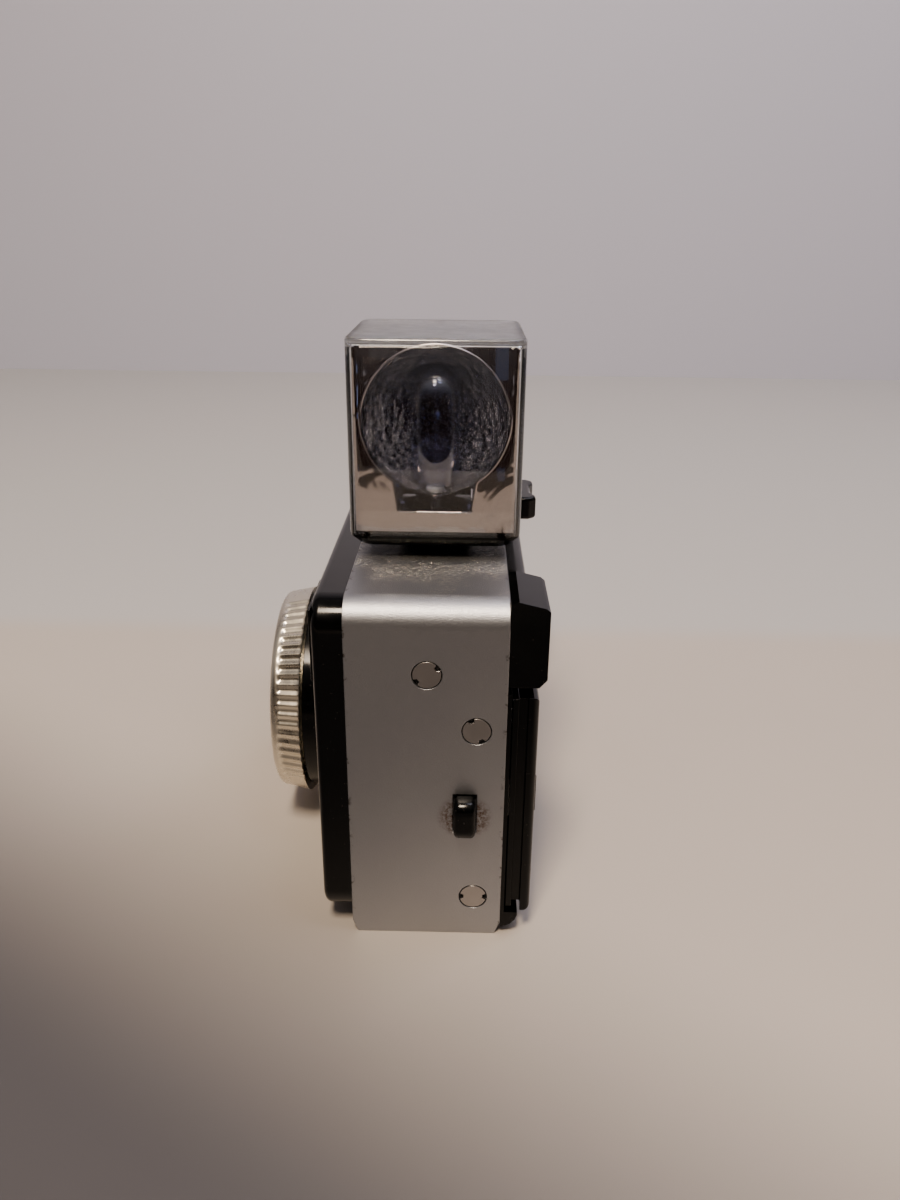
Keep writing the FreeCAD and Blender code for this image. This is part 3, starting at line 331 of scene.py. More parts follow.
# %% [markdown]
# The flash cube needs four finishes. Its cover is clear polystyrene, bright at the sides and
# scuffed on top by pockets and fingers. The mirror is plastic film coated with aluminium in a
# vacuum, flat and bright round the opening and crinkled inside the dish, where it looks dark
# blue-grey. The bulb is thin glass dipped in clear blue lacquer to bring its light to daylight.

# %% Finish: the flash cube
def make_clear_cover():
    material, tree, shader = new_finish("clear_polystyrene", "#f4f5f6", 0.0, 0.03,
                                        IOR=1.59, Transmission_Weight=1.0)
    place = here(tree)
    split = add(tree, "ShaderNodeSeparateXYZ", None, {"Vector": place})
    top_face = ramp(tree, split.outputs["Z"], cube_high.z - 0.5 * MM, cube_high.z - 0.05 * MM)
    scuff = noise_of(tree, place, 3, detail=6.0, roughness=0.7)
    rough = add(tree, "ShaderNodeMix", {"data_type": "FLOAT"},
                {"Factor": top_face, 2: 0.03, 3: ramp(tree, scuff, 0.3, 0.7, 0.35, 0.6)})
    wire(tree, shader, Roughness=rough.outputs[0])
    return material


def make_mirror_foil():
    material, tree, shader = new_finish("vacuum_metallised_foil", "#cfc6c4", 1.0, 0.06)
    wave = noise_of(tree, here(tree), 7, distortion=0.4)
    wire(tree, shader, Normal=raised(tree, wave, 0.5, 0.5))
    return material


def make_crinkled_foil():
    material, tree, shader = new_finish("crinkled_metallised_foil", "#a4a5ab", 1.0, 0.09)
    place = here(tree)
    crease = add(tree, "ShaderNodeTexVoronoi", {"feature": "F1"},
                 {"Vector": place, "Scale": per_mm(1.4)})
    wrinkle = noise_of(tree, place, 1.0, detail=4.0, roughness=0.7)
    both = add(tree, "ShaderNodeMath", {"operation": "ADD"},
               {0: crease.outputs["Distance"], 1: wrinkle})
    wire(tree, shader, Normal=raised(tree, both.outputs[0], 1.0, 1.0),
         Base_Color=blend(tree, noise_of(tree, place, 8), "#9a9cae", "#cac9cb"))
    return material


CLEAR_COVER = make_clear_cover()
MIRROR_FOIL = make_mirror_foil()
CRINKLED_FOIL = make_crinkled_foil()
BLUE_BULB = new_finish("blue_lacquered_glass", "#cfd6ef", 0.0, 0.02, IOR=1.5,
                       Transmission_Weight=1.0, Coat_Weight=1.0, Coat_Roughness=0.03,
                       Coat_IOR=2.2)[0]
LENS_GLASS = new_finish("coated_lens_glass", "#e9e6f5", 0.0, 0.01, IOR=1.52,
                        Transmission_Weight=1.0)[0]
FINDER_PLASTIC = new_finish("clear_acrylic", "#eef0f2", 0.0, 0.03, IOR=1.49,
                            Transmission_Weight=1.0)[0]
print("made", CLEAR_COVER.name, MIRROR_FOIL.name, CRINKLED_FOIL.name, BLUE_BULB.name)

# %% [markdown]
# A few finishes only show when the door is open: natural nylon on the gears, and the sleeves of
# the two battery cells.

# %% Finish: nylon and battery sleeve
def make_plain_plastic(name, base, second, roughness, patch_mm):
    material, tree, shader = new_finish(name, base, 0.0, roughness)
    patch = noise_of(tree, here(tree), patch_mm, detail=3.0)
    wire(tree, shader, Base_Color=blend(tree, patch, base, second))
    return material


NYLON = make_plain_plastic("natural_nylon", "#d9d2c0", "#c9bfa8", 0.45, 3)
SLEEVE = make_plain_plastic("battery_sleeve", "#2f3e52", "#27333f", 0.35, 6)
print("made", NYLON.name, SLEEVE.name)

# %% [markdown]
# Every outline below is drawn in millimetres. `build` turns points and faces into a mesh in
# metres. `loft` joins rings of equal count into a skin, and can close it on itself or cap its two
# ends. `soften` rounds the sharp edges with a bevel, which is what a moulding tool does.

# %% Helpers for meshes
def build(name, points, faces, material, smooth_angle=35):
    mesh = bpy.data.meshes.new(name)
    mesh.from_pydata([Vector(p) * MM for p in points], [], faces)
    piece = bpy.data.objects.new(name, mesh)
    bpy.context.scene.collection.objects.link(piece)
    mesh.materials.append(material)
    tidy_mesh(mesh, smooth_angle)
    return piece


def tidy_mesh(mesh, smooth_angle, merge_mm=0.002):
    """Merge doubles, turn the faces outwards and shade smooth except at sharp edges."""
    shape = bmesh.new()
    shape.from_mesh(mesh)
    bmesh.ops.remove_doubles(shape, verts=shape.verts, dist=merge_mm * MM)
    bmesh.ops.recalc_face_normals(shape, faces=shape.faces)
    for face in shape.faces:
        face.smooth = True
    limit = math.radians(smooth_angle)
    for edge in shape.edges:
        edge.smooth = len(edge.link_faces) == 2 and edge.calc_face_angle(0) < limit
    shape.to_mesh(mesh)
    shape.free()


def loft(name, rings, material, loop=False, smooth_angle=35):
    """Skin over rings of equal count; loop joins the last to the first, else both are capped."""
    count = len(rings[0])
    points = [p for ring in rings for p in ring]
    faces = []
    for row in range(len(rings) if loop else len(rings) - 1):
        following = (row + 1) % len(rings)
        for index in range(count):
            beside = (index + 1) % count
            faces.append((row * count + index, row * count + beside,
                          following * count + beside, following * count + index))
    if not loop:
        faces.append(tuple(range(count)))
        faces.append(tuple(range((len(rings) - 1) * count, len(rings) * count)))
    return build(name, points, faces, material, smooth_angle)


def circle(radius, steps, start=0.0):
    return [(radius * math.cos(start + 2 * math.pi * i / steps),
             radius * math.sin(start + 2 * math.pi * i / steps)) for i in range(steps)]


def rounded_square(half, radius, steps=8):
    """Corner arcs only: the straight sides are the long faces between them."""
    points = []
    for corner, (sx, sy) in enumerate(((1, 1), (-1, 1), (-1, -1), (1, -1))):
        for step in range(steps + 1):
            angle = math.pi / 2 * (corner + step / steps)
            points.append((sx * (half - radius) + radius * math.cos(angle),
                           sy * (half - radius) + radius * math.sin(angle)))
    return points


def lathe(name, profile, material, axis, centre, steps=96, smooth_angle=35):
    """Turn a closed profile of (radius, height) about an axis through centre, along Y or Z."""
    rings = []
    for radius, height in profile:
        ring = circle(max(radius, 0.001), steps)
        if axis == "Y":
            rings.append([(centre[0] + x, height, centre[2] + y) for x, y in ring])
        else:
            rings.append([(centre[0] + x, centre[1] + y, height) for x, y in ring])
    closed = profile[0][0] > 0 and profile[-1][0] > 0
    return loft(name, rings, material, loop=closed, smooth_angle=smooth_angle)


def soften(piece, width_mm, segments=3, angle=32):
    bevel = piece.modifiers.new("softened edges", "BEVEL")
    bevel.width = width_mm * MM
    bevel.segments = segments
    bevel.limit_method = "ANGLE"
    bevel.angle_limit = math.radians(angle)
    bevel.harden_normals = True
    return piece


def settle(piece):
    """Apply what the modifiers make, so that the piece is a plain mesh."""
    bpy.context.view_layer.update()
    evaluated = piece.evaluated_get(bpy.context.evaluated_depsgraph_get())
    mesh = bpy.data.meshes.new_from_object(evaluated)
    piece.modifiers.clear()
    piece.data = mesh
    return piece


def finish_piece(piece, body, slot, *nodes):
    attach(piece, body)
    if nodes:
        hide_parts(*nodes)
    return piece


# %% [markdown]
# The plain parts of the frame have the right shape, but a machine's knife-sharp edges. Each one
# that shows is copied, its loose triangles are merged, its flat faces are joined, and its edges
# are rounded by a tenth of a millimetre or so. The copy then stands for the part it came from.

# %% Softened copies of the plain parts
SOFTENED = [
    ("front_panel", "front_panel_gloss", "camera", "gloss_black_plastic", GLOSS_BLACK, 0.18),
    ("rear_upper_housing", "rear_top_gloss", "camera", "gloss_black_plastic", GLOSS_BLACK, 0.2),
    ("eyepiece_housing", "eyepiece_gloss", "camera", "gloss_black_plastic", GLOSS_BLACK, 0.45),
    ("rear_frame", "rear_frame_matt", "camera", "chassis_plastic", GLOSS_BLACK, 0.12),
    ("rear_door", "rear_door_gloss", "door", "gloss_black_plastic", GLOSS_BLACK, 0.15),
    ("door_latch", "door_latch_gloss", "latch", "gloss_black_plastic", GLOSS_BLACK, 0.1),
    ("advance_pad", "advance_pad_gloss", "advance", "gloss_black_plastic", GLOSS_BLACK, 0.2),
    ("finder_trim", "finder_trim_gloss", "camera", "gloss_black_plastic", GLOSS_BLACK, 0.1),
    ("socket_collar", "socket_collar_gloss", "camera", "gloss_black_plastic", GLOSS_BLACK, 0.15),
    ("cube_turntable", "turntable_gloss", "cube_socket", "gloss_black_plastic", GLOSS_BLACK, 0.15),
    ("release_button", "release_button_gloss", "release", "gloss_black_plastic", GLOSS_BLACK, 0.15),
    ("lens_base", "lens_base_gloss", "camera", "gloss_black_plastic", GLOSS_BLACK, 0.15),
    ("lens_surround", "lens_surround_gloss", "camera", "gloss_black_plastic", GLOSS_BLACK, 0.1),
    ("silver_band", "silver_band_satin", "camera", "satin_aluminium", SATIN_ALUMINIUM, 0.1),
    ("tripod_bush", "tripod_bush_turned", "camera", "brass", BRASS, 0.15),
]


def softened_copy(node, name, body, slot, material, width_mm):
    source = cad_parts[node]
    mesh = source.data.copy()
    mesh.name = name
    mesh.materials.clear()
    mesh.materials.append(material)
    piece = bpy.data.objects.new(name, mesh)
    bpy.context.scene.collection.objects.link(piece)
    shape = bmesh.new()
    shape.from_mesh(mesh)
    bmesh.ops.remove_doubles(shape, verts=shape.verts, dist=0.001 * MM)
    bmesh.ops.dissolve_limit(shape, angle_limit=math.radians(0.5), verts=shape.verts,
                             edges=shape.edges)
    for face in shape.faces:
        face.smooth = True
    for edge in shape.edges:
        edge.smooth = len(edge.link_faces) == 2 and edge.calc_face_angle(0) < math.radians(50)
    shape.to_mesh(mesh)
    shape.free()
    soften(piece, width_mm, segments=2, angle=30)
    even = piece.modifiers.new("flat faces stay flat", "WEIGHTED_NORMAL")
    even.weight = 100
    even.keep_sharp = True
    settle(piece)
    return finish_piece(piece, body, slot, node)


for row in SOFTENED:
    made = softened_copy(*row)
    print(made.name, len(made.data.polygons), "faces")

# %% [markdown]
# The strap lug is a small bridge moulded in black plastic, thick enough to carry the camera on a
# cord. Its outline and its eye are both drawn as rounded boxes seen along Y, sampled at the same
# angles, so a single skin can run over the outside, round the soft edges and back through the eye.

# %% The strap lug
def rounded_box(low, high, centre, radius, steps=64):
    """A rounded box in X and Z, sampled at equal angles about a centre."""
    points = []
    for index in range(steps):
        angle = 2 * math.pi * index / steps
        way = Vector((math.cos(angle), math.sin(angle)))
        near, far = 0.0, 20.0
        for _ in range(40):                              # halve the ray until it meets the outline
            mid = (near + far) / 2
            spot = Vector(centre) + way * mid
            dx = max(low[0] + radius - spot.x, spot.x - high[0] + radius, 0.0)
            dz = max(low[1] + radius - spot.y, spot.y - high[1] + radius, 0.0)
            if math.hypot(dx, dz) < radius:
                near = mid
            else:
                far = mid
        points.append((centre[0] + way.x * near, centre[1] + way.y * near))
    return points


def make_strap_lug():
    low, high = lug_low / MM, lug_high / MM
    centre = (54.75, 24.9)
    soft, corner, buried = 0.85, 2.0, 1.2
    eye_low, eye_high, eye_corner, eye_lead = (53.75, 22.9), (55.7, 26.9), 0.8, 0.1
    rings = []
    for step in range(1, 6):
        angle = math.pi / 2 * step / 5
        inset = soft * (1 - math.sin(angle))
        y = low.y + soft * (1 - math.cos(angle))
        outline = rounded_box((low.x - buried + inset, low.z + inset),
                              (high.x - inset, high.z - inset), centre, corner)
        rings.append([(x, y, z) for x, z in outline])
    rings += [[(x, low.y + high.y - y, z) for x, y, z in ring_points]
              for ring_points in reversed(rings)]
    eye = rounded_box(eye_low, eye_high, centre, eye_corner)
    rings += [[(x, y, z) for x, z in eye] for y in (high.y - eye_lead, low.y + eye_lead)]
    lug = loft("strap_lug_gloss", rings, GLOSS_BLACK, loop=True, smooth_angle=50)
    return finish_piece(lug, "camera", "gloss_black_plastic", "strap_lug")


print("lug", len(make_strap_lug().data.polygons), "faces")

# %% [markdown]
# What lies deeper is seen only when the door is open or past the lens. Those parts stay as the
# frame has them and get their real finish.

# %% Finishes for the inner parts
INNER = {
    MATT_BLACK: ["chassis", "light_tunnel"],
    LEATHERETTE: ["front_leatherette"],
    MATT_PAINT: ["lens_barrel", "aperture_plate", "shutter_plate", "shutter_blade",
                 "release_lever", "film_gate"],
    STEEL: ["hinge_pin", "door_catch", "button_spring", "cartridge_springs", "cube_lead_wires",
            "button_bracket", "battery_contacts"],
    BRASS: ["lens_retainer", "lens_spacer"],
    NYLON: ["cube_gear", "takeup_gear", "advance_rack", "takeup_spindle"],
    SLEEVE: ["battery_1", "battery_2"],
    LENS_GLASS: ["front_lens", "rear_lens"],
    FINDER_PLASTIC: ["finder_window", "finder_objective", "eyepiece_lens", "door_window"],
}
for material, nodes in INNER.items():
    for node in nodes:
        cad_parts[node].data.materials.clear()
        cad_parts[node].data.materials.append(material)
print("finished", sum(len(nodes) for nodes in INNER.values()), "inner parts")

# %% [markdown]
# The ring is turned from bar, then two opposite sectors are fluted for the fingers. The plain ring
# is a lathe shape. The flutes follow a rule, so Geometry Nodes press them in: each point moves
# towards the axis by an amount that depends only on its angle and on how far back it lies.

# %% The fluted setting ring
RING_STEPS = 792
FLUTES_PER_TURN = 66
ring_front = ring_low.y / MM
sleeve_rear = ring_high.y / MM
rim_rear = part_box("lens_base")[0].y / MM - 0.1


def ring_profile():
    """Radius and Y, from the bore's front edge round the outside to the sleeve."""
    rows = [(16.4, ring_front + 0.5), (17.0, ring_front), (18.8, ring_front),
            (19.4, ring_front + 0.15), (19.85, ring_front + 0.5), (20.1, ring_front + 1.0)]
    for step in range(1, 19):
        share = step / 18
        rows.append((20.1 + 0.9 * share, ring_front + 1.0 + (rim_rear - ring_front - 1.25) * share))
    rows += [(21.1, rim_rear - 0.1), (21.0, rim_rear), (17.4, rim_rear), (17.4, sleeve_rear),
             (16.4, sleeve_rear)]
    return rows


def flute_tree():
    """Geometry Nodes that press flutes into two opposite sectors of a ring about the Y axis."""
    tree = bpy.data.node_groups.new("pressed_flutes", "GeometryNodeTree")
    tree.interface.new_socket("Geometry", in_out="INPUT", socket_type="NodeSocketGeometry")
    for name in ("Centre X", "Centre Z", "Pitch", "Depth", "Sector middle", "Sector half",
                 "Front end", "Rear end", "Least radius"):
        tree.interface.new_socket(name, in_out="INPUT", socket_type="NodeSocketFloat")
    tree.interface.new_socket("Material", in_out="INPUT", socket_type="NodeSocketMaterial")
    tree.interface.new_socket("Geometry", in_out="OUTPUT", socket_type="NodeSocketGeometry")
    given = add(tree, "NodeGroupInput").outputs
    point = add(tree, "GeometryNodeInputPosition").outputs[0]
    split = add(tree, "ShaderNodeSeparateXYZ", None, {0: point})

    def calc(operation, first, second=0.0, third=0.0):
        return add(tree, "ShaderNodeMath", {"operation": operation},
                   {0: first, 1: second, 2: third}).outputs[0]

    side = calc("SUBTRACT", split.outputs["X"], given["Centre X"])
    up = calc("SUBTRACT", split.outputs["Z"], given["Centre Z"])
    radius = calc("SQRT", calc("ADD", calc("MULTIPLY", side, side), calc("MULTIPLY", up, up)))
    angle = calc("ARCTAN2", up, side)
    # the angle from the nearer sector's middle, with both sectors folded onto one
    folded = calc("WRAP", calc("SUBTRACT", angle, given["Sector middle"]), math.pi / 2,
                  -math.pi / 2)
    inside = calc("LESS_THAN", calc("ABSOLUTE", folded), given["Sector half"])
    phase = calc("MULTIPLY", calc("DIVIDE", folded, given["Pitch"]), 2 * math.pi)
    valley = calc("POWER", calc("MULTIPLY_ADD", calc("COSINE", phase), 0.5, 0.5), 0.75)
    back = add(tree, "ShaderNodeMapRange", {"interpolation_type": "SMOOTHSTEP"},
               {"Value": split.outputs["Y"], "From Min": given["Front end"],
                "From Max": given["Rear end"]}).outputs["Result"]
    outside = calc("GREATER_THAN", radius, given["Least radius"])
    push = calc("MULTIPLY", calc("MULTIPLY", valley, back), calc("MULTIPLY", inside, outside))
    amount = calc("DIVIDE", calc("MULTIPLY", push, given["Depth"]), radius)
    inward = add(tree, "ShaderNodeCombineXYZ", None,
                 {"X": calc("MULTIPLY", calc("MULTIPLY", side, amount), -1.0), "Y": 0.0,
                  "Z": calc("MULTIPLY", calc("MULTIPLY", up, amount), -1.0)})
    moved = add(tree, "GeometryNodeSetPosition", None,
                {"Geometry": given["Geometry"], "Offset": inward.outputs[0]})
    whole = add(tree, "GeometryNodeRealizeInstances", None, {"Geometry": moved.outputs[0]})
    painted = add(tree, "GeometryNodeSetMaterial", None,
                  {"Geometry": whole.outputs[0], "Material": given["Material"]})
    add(tree, "NodeGroupOutput", None, {"Geometry": painted.outputs[0]})
    return tree


def use_tree(piece, tree, values):
    """Put a geometry tree on a piece, with its inputs set by their identifiers."""
    modifier = piece.modifiers.new(tree.name, "NODES")
    modifier.node_group = tree
    for item in tree.interface.items_tree:
        if item.in_out == "INPUT" and item.name in values:
            modifier[item.identifier] = values[item.name]
    return settle(piece)


ring = lathe("fluted_setting_ring", ring_profile(), RING_METAL, "Y",
             (LENS.x / MM, 0, LENS.z / MM), RING_STEPS)
use_tree(ring, flute_tree(), {
    "Centre X": LENS.x, "Centre Z": LENS.z, "Pitch": 2 * math.pi / FLUTES_PER_TURN,
    "Depth": 0.36 * MM, "Sector middle": math.radians(26), "Sector half": math.radians(57.2),
    "Front end": (ring_front + 1.3) * MM, "Rear end": (ring_front + 2.2) * MM,
    "Least radius": 19.95 * MM, "Material": RING_METAL})
finish_piece(ring, "setting", "fluted_aluminium", "setting_ring")
print("ring", len(ring.data.polygons), "faces")

# %% [markdown]
# Three screws hold each end of the wrap. They are flush, satin, and have two notches for a pin
# spanner in place of a slot. One head is modelled, and Geometry Nodes set a copy at each place,
# turned as the maker left it.

# %% The end screws
HEAD_RAD = 2.25
SCREW_PLACES = [(0.1, 50.2, 35), (8.0, 40.4, 115), (8.0, 7.9, 0)]     # Y, Z and turn of each


def screw_head():
    """A flat head on its back, facing +X, with two notches in its rim."""
    outline = []
    steps = 72
    notch = math.radians(11)
    for index in range(steps):
        angle = 2 * math.pi * index / steps
        off = abs((angle + math.pi / 2) % math.pi - math.pi / 2)
        deep = 0.62 if off < notch else 0.0
        outline.append(((HEAD_RAD - deep) * math.cos(angle), (HEAD_RAD - deep) * math.sin(angle)))
    rings = [[(x, y, z) for y, z in outline] for x in (-0.62, -0.04)]
    head = loft("screw_head", rings, STEEL)
    return settle(soften(head, 0.08, segments=2))


def screw_tree():
    """Geometry Nodes that set a head at each point, turned as the point says."""
    tree = bpy.data.node_groups.new("screws_in_place", "GeometryNodeTree")
    tree.interface.new_socket("Geometry", in_out="INPUT", socket_type="NodeSocketGeometry")
    tree.interface.new_socket("Head", in_out="INPUT", socket_type="NodeSocketObject")
    tree.interface.new_socket("Material", in_out="INPUT", socket_type="NodeSocketMaterial")
    tree.interface.new_socket("Geometry", in_out="OUTPUT", socket_type="NodeSocketGeometry")
    given = add(tree, "NodeGroupInput").outputs
    shape = add(tree, "GeometryNodeObjectInfo", {"transform_space": "ORIGINAL"},
                {"Object": given["Head"]})
    turn = add(tree, "GeometryNodeInputNamedAttribute", {"data_type": "FLOAT_VECTOR"},
               {"Name": "turn"})
    copies = add(tree, "GeometryNodeInstanceOnPoints", None,
                 {"Points": given["Geometry"], "Instance": shape.outputs["Geometry"],
                  "Rotation": turn.outputs["Attribute"]})
    whole = add(tree, "GeometryNodeRealizeInstances", None, {"Geometry": copies.outputs[0]})
    painted = add(tree, "GeometryNodeSetMaterial", None,
                  {"Geometry": whole.outputs[0], "Material": given["Material"]})
    add(tree, "NodeGroupOutput", None, {"Geometry": painted.outputs[0]})
    return tree


def place_screws(name, side, tree, head, node):
    mesh = bpy.data.meshes.new(name)
    mesh.from_pydata([(side * HALF_LENGTH, y * MM, z * MM) for y, z, _ in SCREW_PLACES], [], [])
    turns = mesh.attributes.new("turn", "FLOAT_VECTOR", "POINT")
    for index, (_, _, degrees) in enumerate(SCREW_PLACES):
        flip = 0 if side > 0 else math.pi
        turns.data[index].vector = (math.radians(degrees), 0, flip)
    piece = bpy.data.objects.new(name, mesh)
    bpy.context.scene.collection.objects.link(piece)
    use_tree(piece, tree, {"Head": head, "Material": STEEL})
    return finish_piece(piece, "camera", "screw_steel", node)


head = screw_head()
screws = screw_tree()
place_screws("end_screw_heads_right", 1, screws, head, "end_screws_right")
place_screws("end_screw_heads_left", -1, screws, head, "end_screws_left")
bpy.data.objects.remove(head)
print("screws placed at both ends")

# %% [markdown]
# The flash cube is a clear cap over four mirrored reflectors with a bulb in each, on a black
# socket base. Everything in it is made once for one side and repeated by quarter turns. The
# outlines are in millimetres, and the cube's own axis gives their middle.

# %% Flash cube: cover and base
AXIS_X, AXIS_Y = CUBE_MIDDLE.x / MM, CUBE_MIDDLE.y / MM
COVER_LOW, COVER_HIGH = cube_low.z / MM, cube_high.z / MM
COVER_HALF = (cube_high.x - cube_low.x) / MM / 2
reflector_low, reflector_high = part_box("cube_reflector")
base_low, base_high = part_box("cube_base")
MIRROR_HALF = (reflector_high.x - reflector_low.x) / MM / 2 + 0.7
BASE_HALF = (base_high.x - base_low.x) / MM / 2


def square_ring(half, radius, z):
    return [(AXIS_X + x, AXIS_Y + y, z) for x, y in rounded_square(half, radius)]


def make_cover():
    wall, corner, rolled = 0.85, 3.0, 0.7
    inside = COVER_HALF - wall
    rings = [square_ring(inside - 1.2, 1.0, COVER_HIGH - 1.0),
             square_ring(inside - 0.3, 0.9, COVER_HIGH - 1.15),
             square_ring(inside, 1.0, COVER_HIGH - 1.6),
             square_ring(inside, 1.0, COVER_LOW),
             square_ring(COVER_HALF, corner, COVER_LOW),
             square_ring(COVER_HALF, corner, COVER_HIGH - rolled)]
    for step in range(1, 6):
        angle = math.pi / 2 * step / 5
        inward = rolled * (1 - math.cos(angle))
        rings.append(square_ring(COVER_HALF - inward, corner - inward * 0.6,
                                 COVER_HIGH - rolled + rolled * math.sin(angle)))
    cover = loft("clear_cube_cover", rings, CLEAR_COVER)
    return finish_piece(cover, "flash_cube", "clear_plastic", "cube_cover")


def make_base():
    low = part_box("cube_turntable")[1].z / MM + 0.1
    rings = [square_ring(BASE_HALF - 2.4, 2.2, low + 0.2),
             square_ring(BASE_HALF - 2.0, 2.4, low),
             square_ring(BASE_HALF - 1.3, 2.6, low + 0.3),
             square_ring(BASE_HALF - 0.3, 2.8, COVER_LOW - 0.75),
             square_ring(BASE_HALF, 2.9, COVER_LOW - 0.5),
             square_ring(BASE_HALF, 2.9, COVER_LOW - 0.15),
             square_ring(BASE_HALF - 0.1, 2.8, COVER_LOW - 0.02),
             square_ring(BASE_HALF - 0.9, 1.0, COVER_LOW - 0.02),
             square_ring(BASE_HALF - 0.95, 1.0, COVER_LOW + 0.35),
             square_ring(BASE_HALF - 1.2, 0.9, COVER_LOW + 0.45)]
    base = loft("cube_socket_base", rings, GLOSS_BLACK)
    return finish_piece(base, "flash_cube", "cube_base_plastic", "cube_base")


cover = make_cover()
base = make_base()
print("cover and base", len(cover.data.polygons), len(base.data.polygons), "faces")

# %% [markdown]
# Each mirror is a flat plate with a round opening and a narrow neck below it for the bulb's foot.
# The plate is a skin from the opening's outline to the square's edge, with a rolled lip that
# catches a thin bright line. One side is made, and turned by quarters for the other three.

# %% Flash cube: mirrors, dishes and bulbs
DISH_Z = 85.2
DISH_RAD = 12.0
NECK_HALF = 6.1
NECK_LOW = 70.2
MIRROR_LOW, MIRROR_HIGH = COVER_LOW + 0.55, COVER_HIGH - 1.25


def opening(grow=0.0):
    """The opening's outline as (across, up), anticlockwise, with the neck at the bottom."""
    radius = DISH_RAD + grow
    shoulder = NECK_HALF + 0.75 + grow
    start = -math.acos(shoulder / radius)
    end = math.pi - start
    steps = 88
    points = [(radius * math.cos(start + (end - start) * i / steps),
               DISH_Z + radius * math.sin(start + (end - start) * i / steps))
              for i in range(steps + 1)]
    foot, side = NECK_LOW - grow, NECK_HALF + grow
    bend = foot + (points[0][1] - foot) * 0.76
    points += [(-side - 0.55, bend), (-side, foot + 0.4), (-side + 0.4, foot)]
    points += [(across, foot) for across in (-3.0, 0.0, 3.0)]
    points += [(side - 0.4, foot), (side, foot + 0.4), (side + 0.55, bend)]
    return points


def square_edge(points):
    """Each point carried straight out from the opening's middle to the plate's edge."""
    middle_z = (MIRROR_LOW + MIRROR_HIGH) / 2
    result = []
    for across, up in points:
        rise = up - middle_z
        reach = min((MIRROR_HALF - 0.02) / max(abs(across), 1e-6),
                    (MIRROR_HIGH - middle_z) / max(abs(rise), 1e-6))
        result.append((across * reach, middle_z + rise * reach))
    half = MIRROR_HALF - 0.02
    for corner in ((-half, MIRROR_LOW), (half, MIRROR_LOW), (half, MIRROR_HIGH), (-half, MIRROR_HIGH)):
        nearest = min(range(len(result)), key=lambda i: math.dist(result[i], corner))
        result[nearest] = corner
    return result


def face_points(outline, out):
    """Outline points on the cube's +X side, at a distance from its axis."""
    return [(out, across, up) for across, up in outline]


def quarter_turns(piece_name, rings_list, material, loop=False):
    """Join a piece made on the +X side with its three quarter-turned copies."""
    points, faces = [], []
    for quarter in range(4):
        turn = Matrix.Rotation(math.pi / 2 * quarter, 3, "Z")
        for rings in rings_list:
            count = len(rings[0])
            start = len(points)
            for ring_points in rings:
                points += [turn @ Vector(p) + Vector((AXIS_X, AXIS_Y, 0)) for p in ring_points]
            for row in range(len(rings) if loop else len(rings) - 1):
                following = (row + 1) % len(rings)
                for index in range(count):
                    beside = (index + 1) % count
                    faces.append((start + row * count + index, start + row * count + beside,
                                  start + following * count + beside,
                                  start + following * count + index))
            if not loop:
                faces.append(tuple(start + i for i in range(count)))
                last = start + (len(rings) - 1) * count
                faces.append(tuple(last + i for i in range(count)))
    return build(piece_name, points, faces, material)


def make_mirrors():
    edge = square_edge(opening())
    rings = [face_points(opening(-0.2), MIRROR_HALF - 1.0),
             face_points(opening(-0.2), MIRROR_HALF),
             face_points(opening(-0.12), MIRROR_HALF + 0.14),
             face_points(opening(0.0), MIRROR_HALF + 0.2),
             face_points(opening(0.12), MIRROR_HALF + 0.14),
             face_points(opening(0.2), MIRROR_HALF),
             face_points(edge, MIRROR_HALF - 0.02),
             face_points(edge, MIRROR_HALF - 0.35)]
    mirrors = quarter_turns("mirror_plates", [rings], MIRROR_FOIL, loop=True)
    return finish_piece(mirrors, "flash_cube", "mirror_foil", "cube_reflector")


def dish_ring(radius, out, row):
    """One ring of a dish; the foil's folds run outwards and deepen away from the rim."""
    points = []
    steps = 120
    for index in range(steps):
        angle = 2 * math.pi * index / steps
        fold = noise.noise(Vector((6 * math.cos(angle), 6 * math.sin(angle), radius * 0.15)))
        fine = noise.noise(Vector((17 * math.cos(angle), 17 * math.sin(angle), row * 0.6)))
        depth = min(row / 3, 1.0) * (0.6 * fold + 0.3 * fine)
        points.append((out + depth, radius * math.cos(angle), DISH_Z + radius * math.sin(angle)))
    return points


def make_dishes():
    rows = 16
    deep = MIRROR_HALF - 3.9                        # stops short of the cube's axis
    front = []
    for row in range(rows + 1):
        share = row / rows
        radius = DISH_RAD + 0.1 - (DISH_RAD - 0.6) * share
        front.append(dish_ring(radius, MIRROR_HALF - 0.5 - deep * math.sin(share * math.pi / 2), row))
    back = [[(x - 0.25, y, z) for x, y, z in ring_points] for ring_points in reversed(front)]
    dishes = quarter_turns("crinkled_dishes", [front + back], CRINKLED_FOIL, loop=True)
    return finish_piece(dishes, "flash_cube", "mirror_foil")


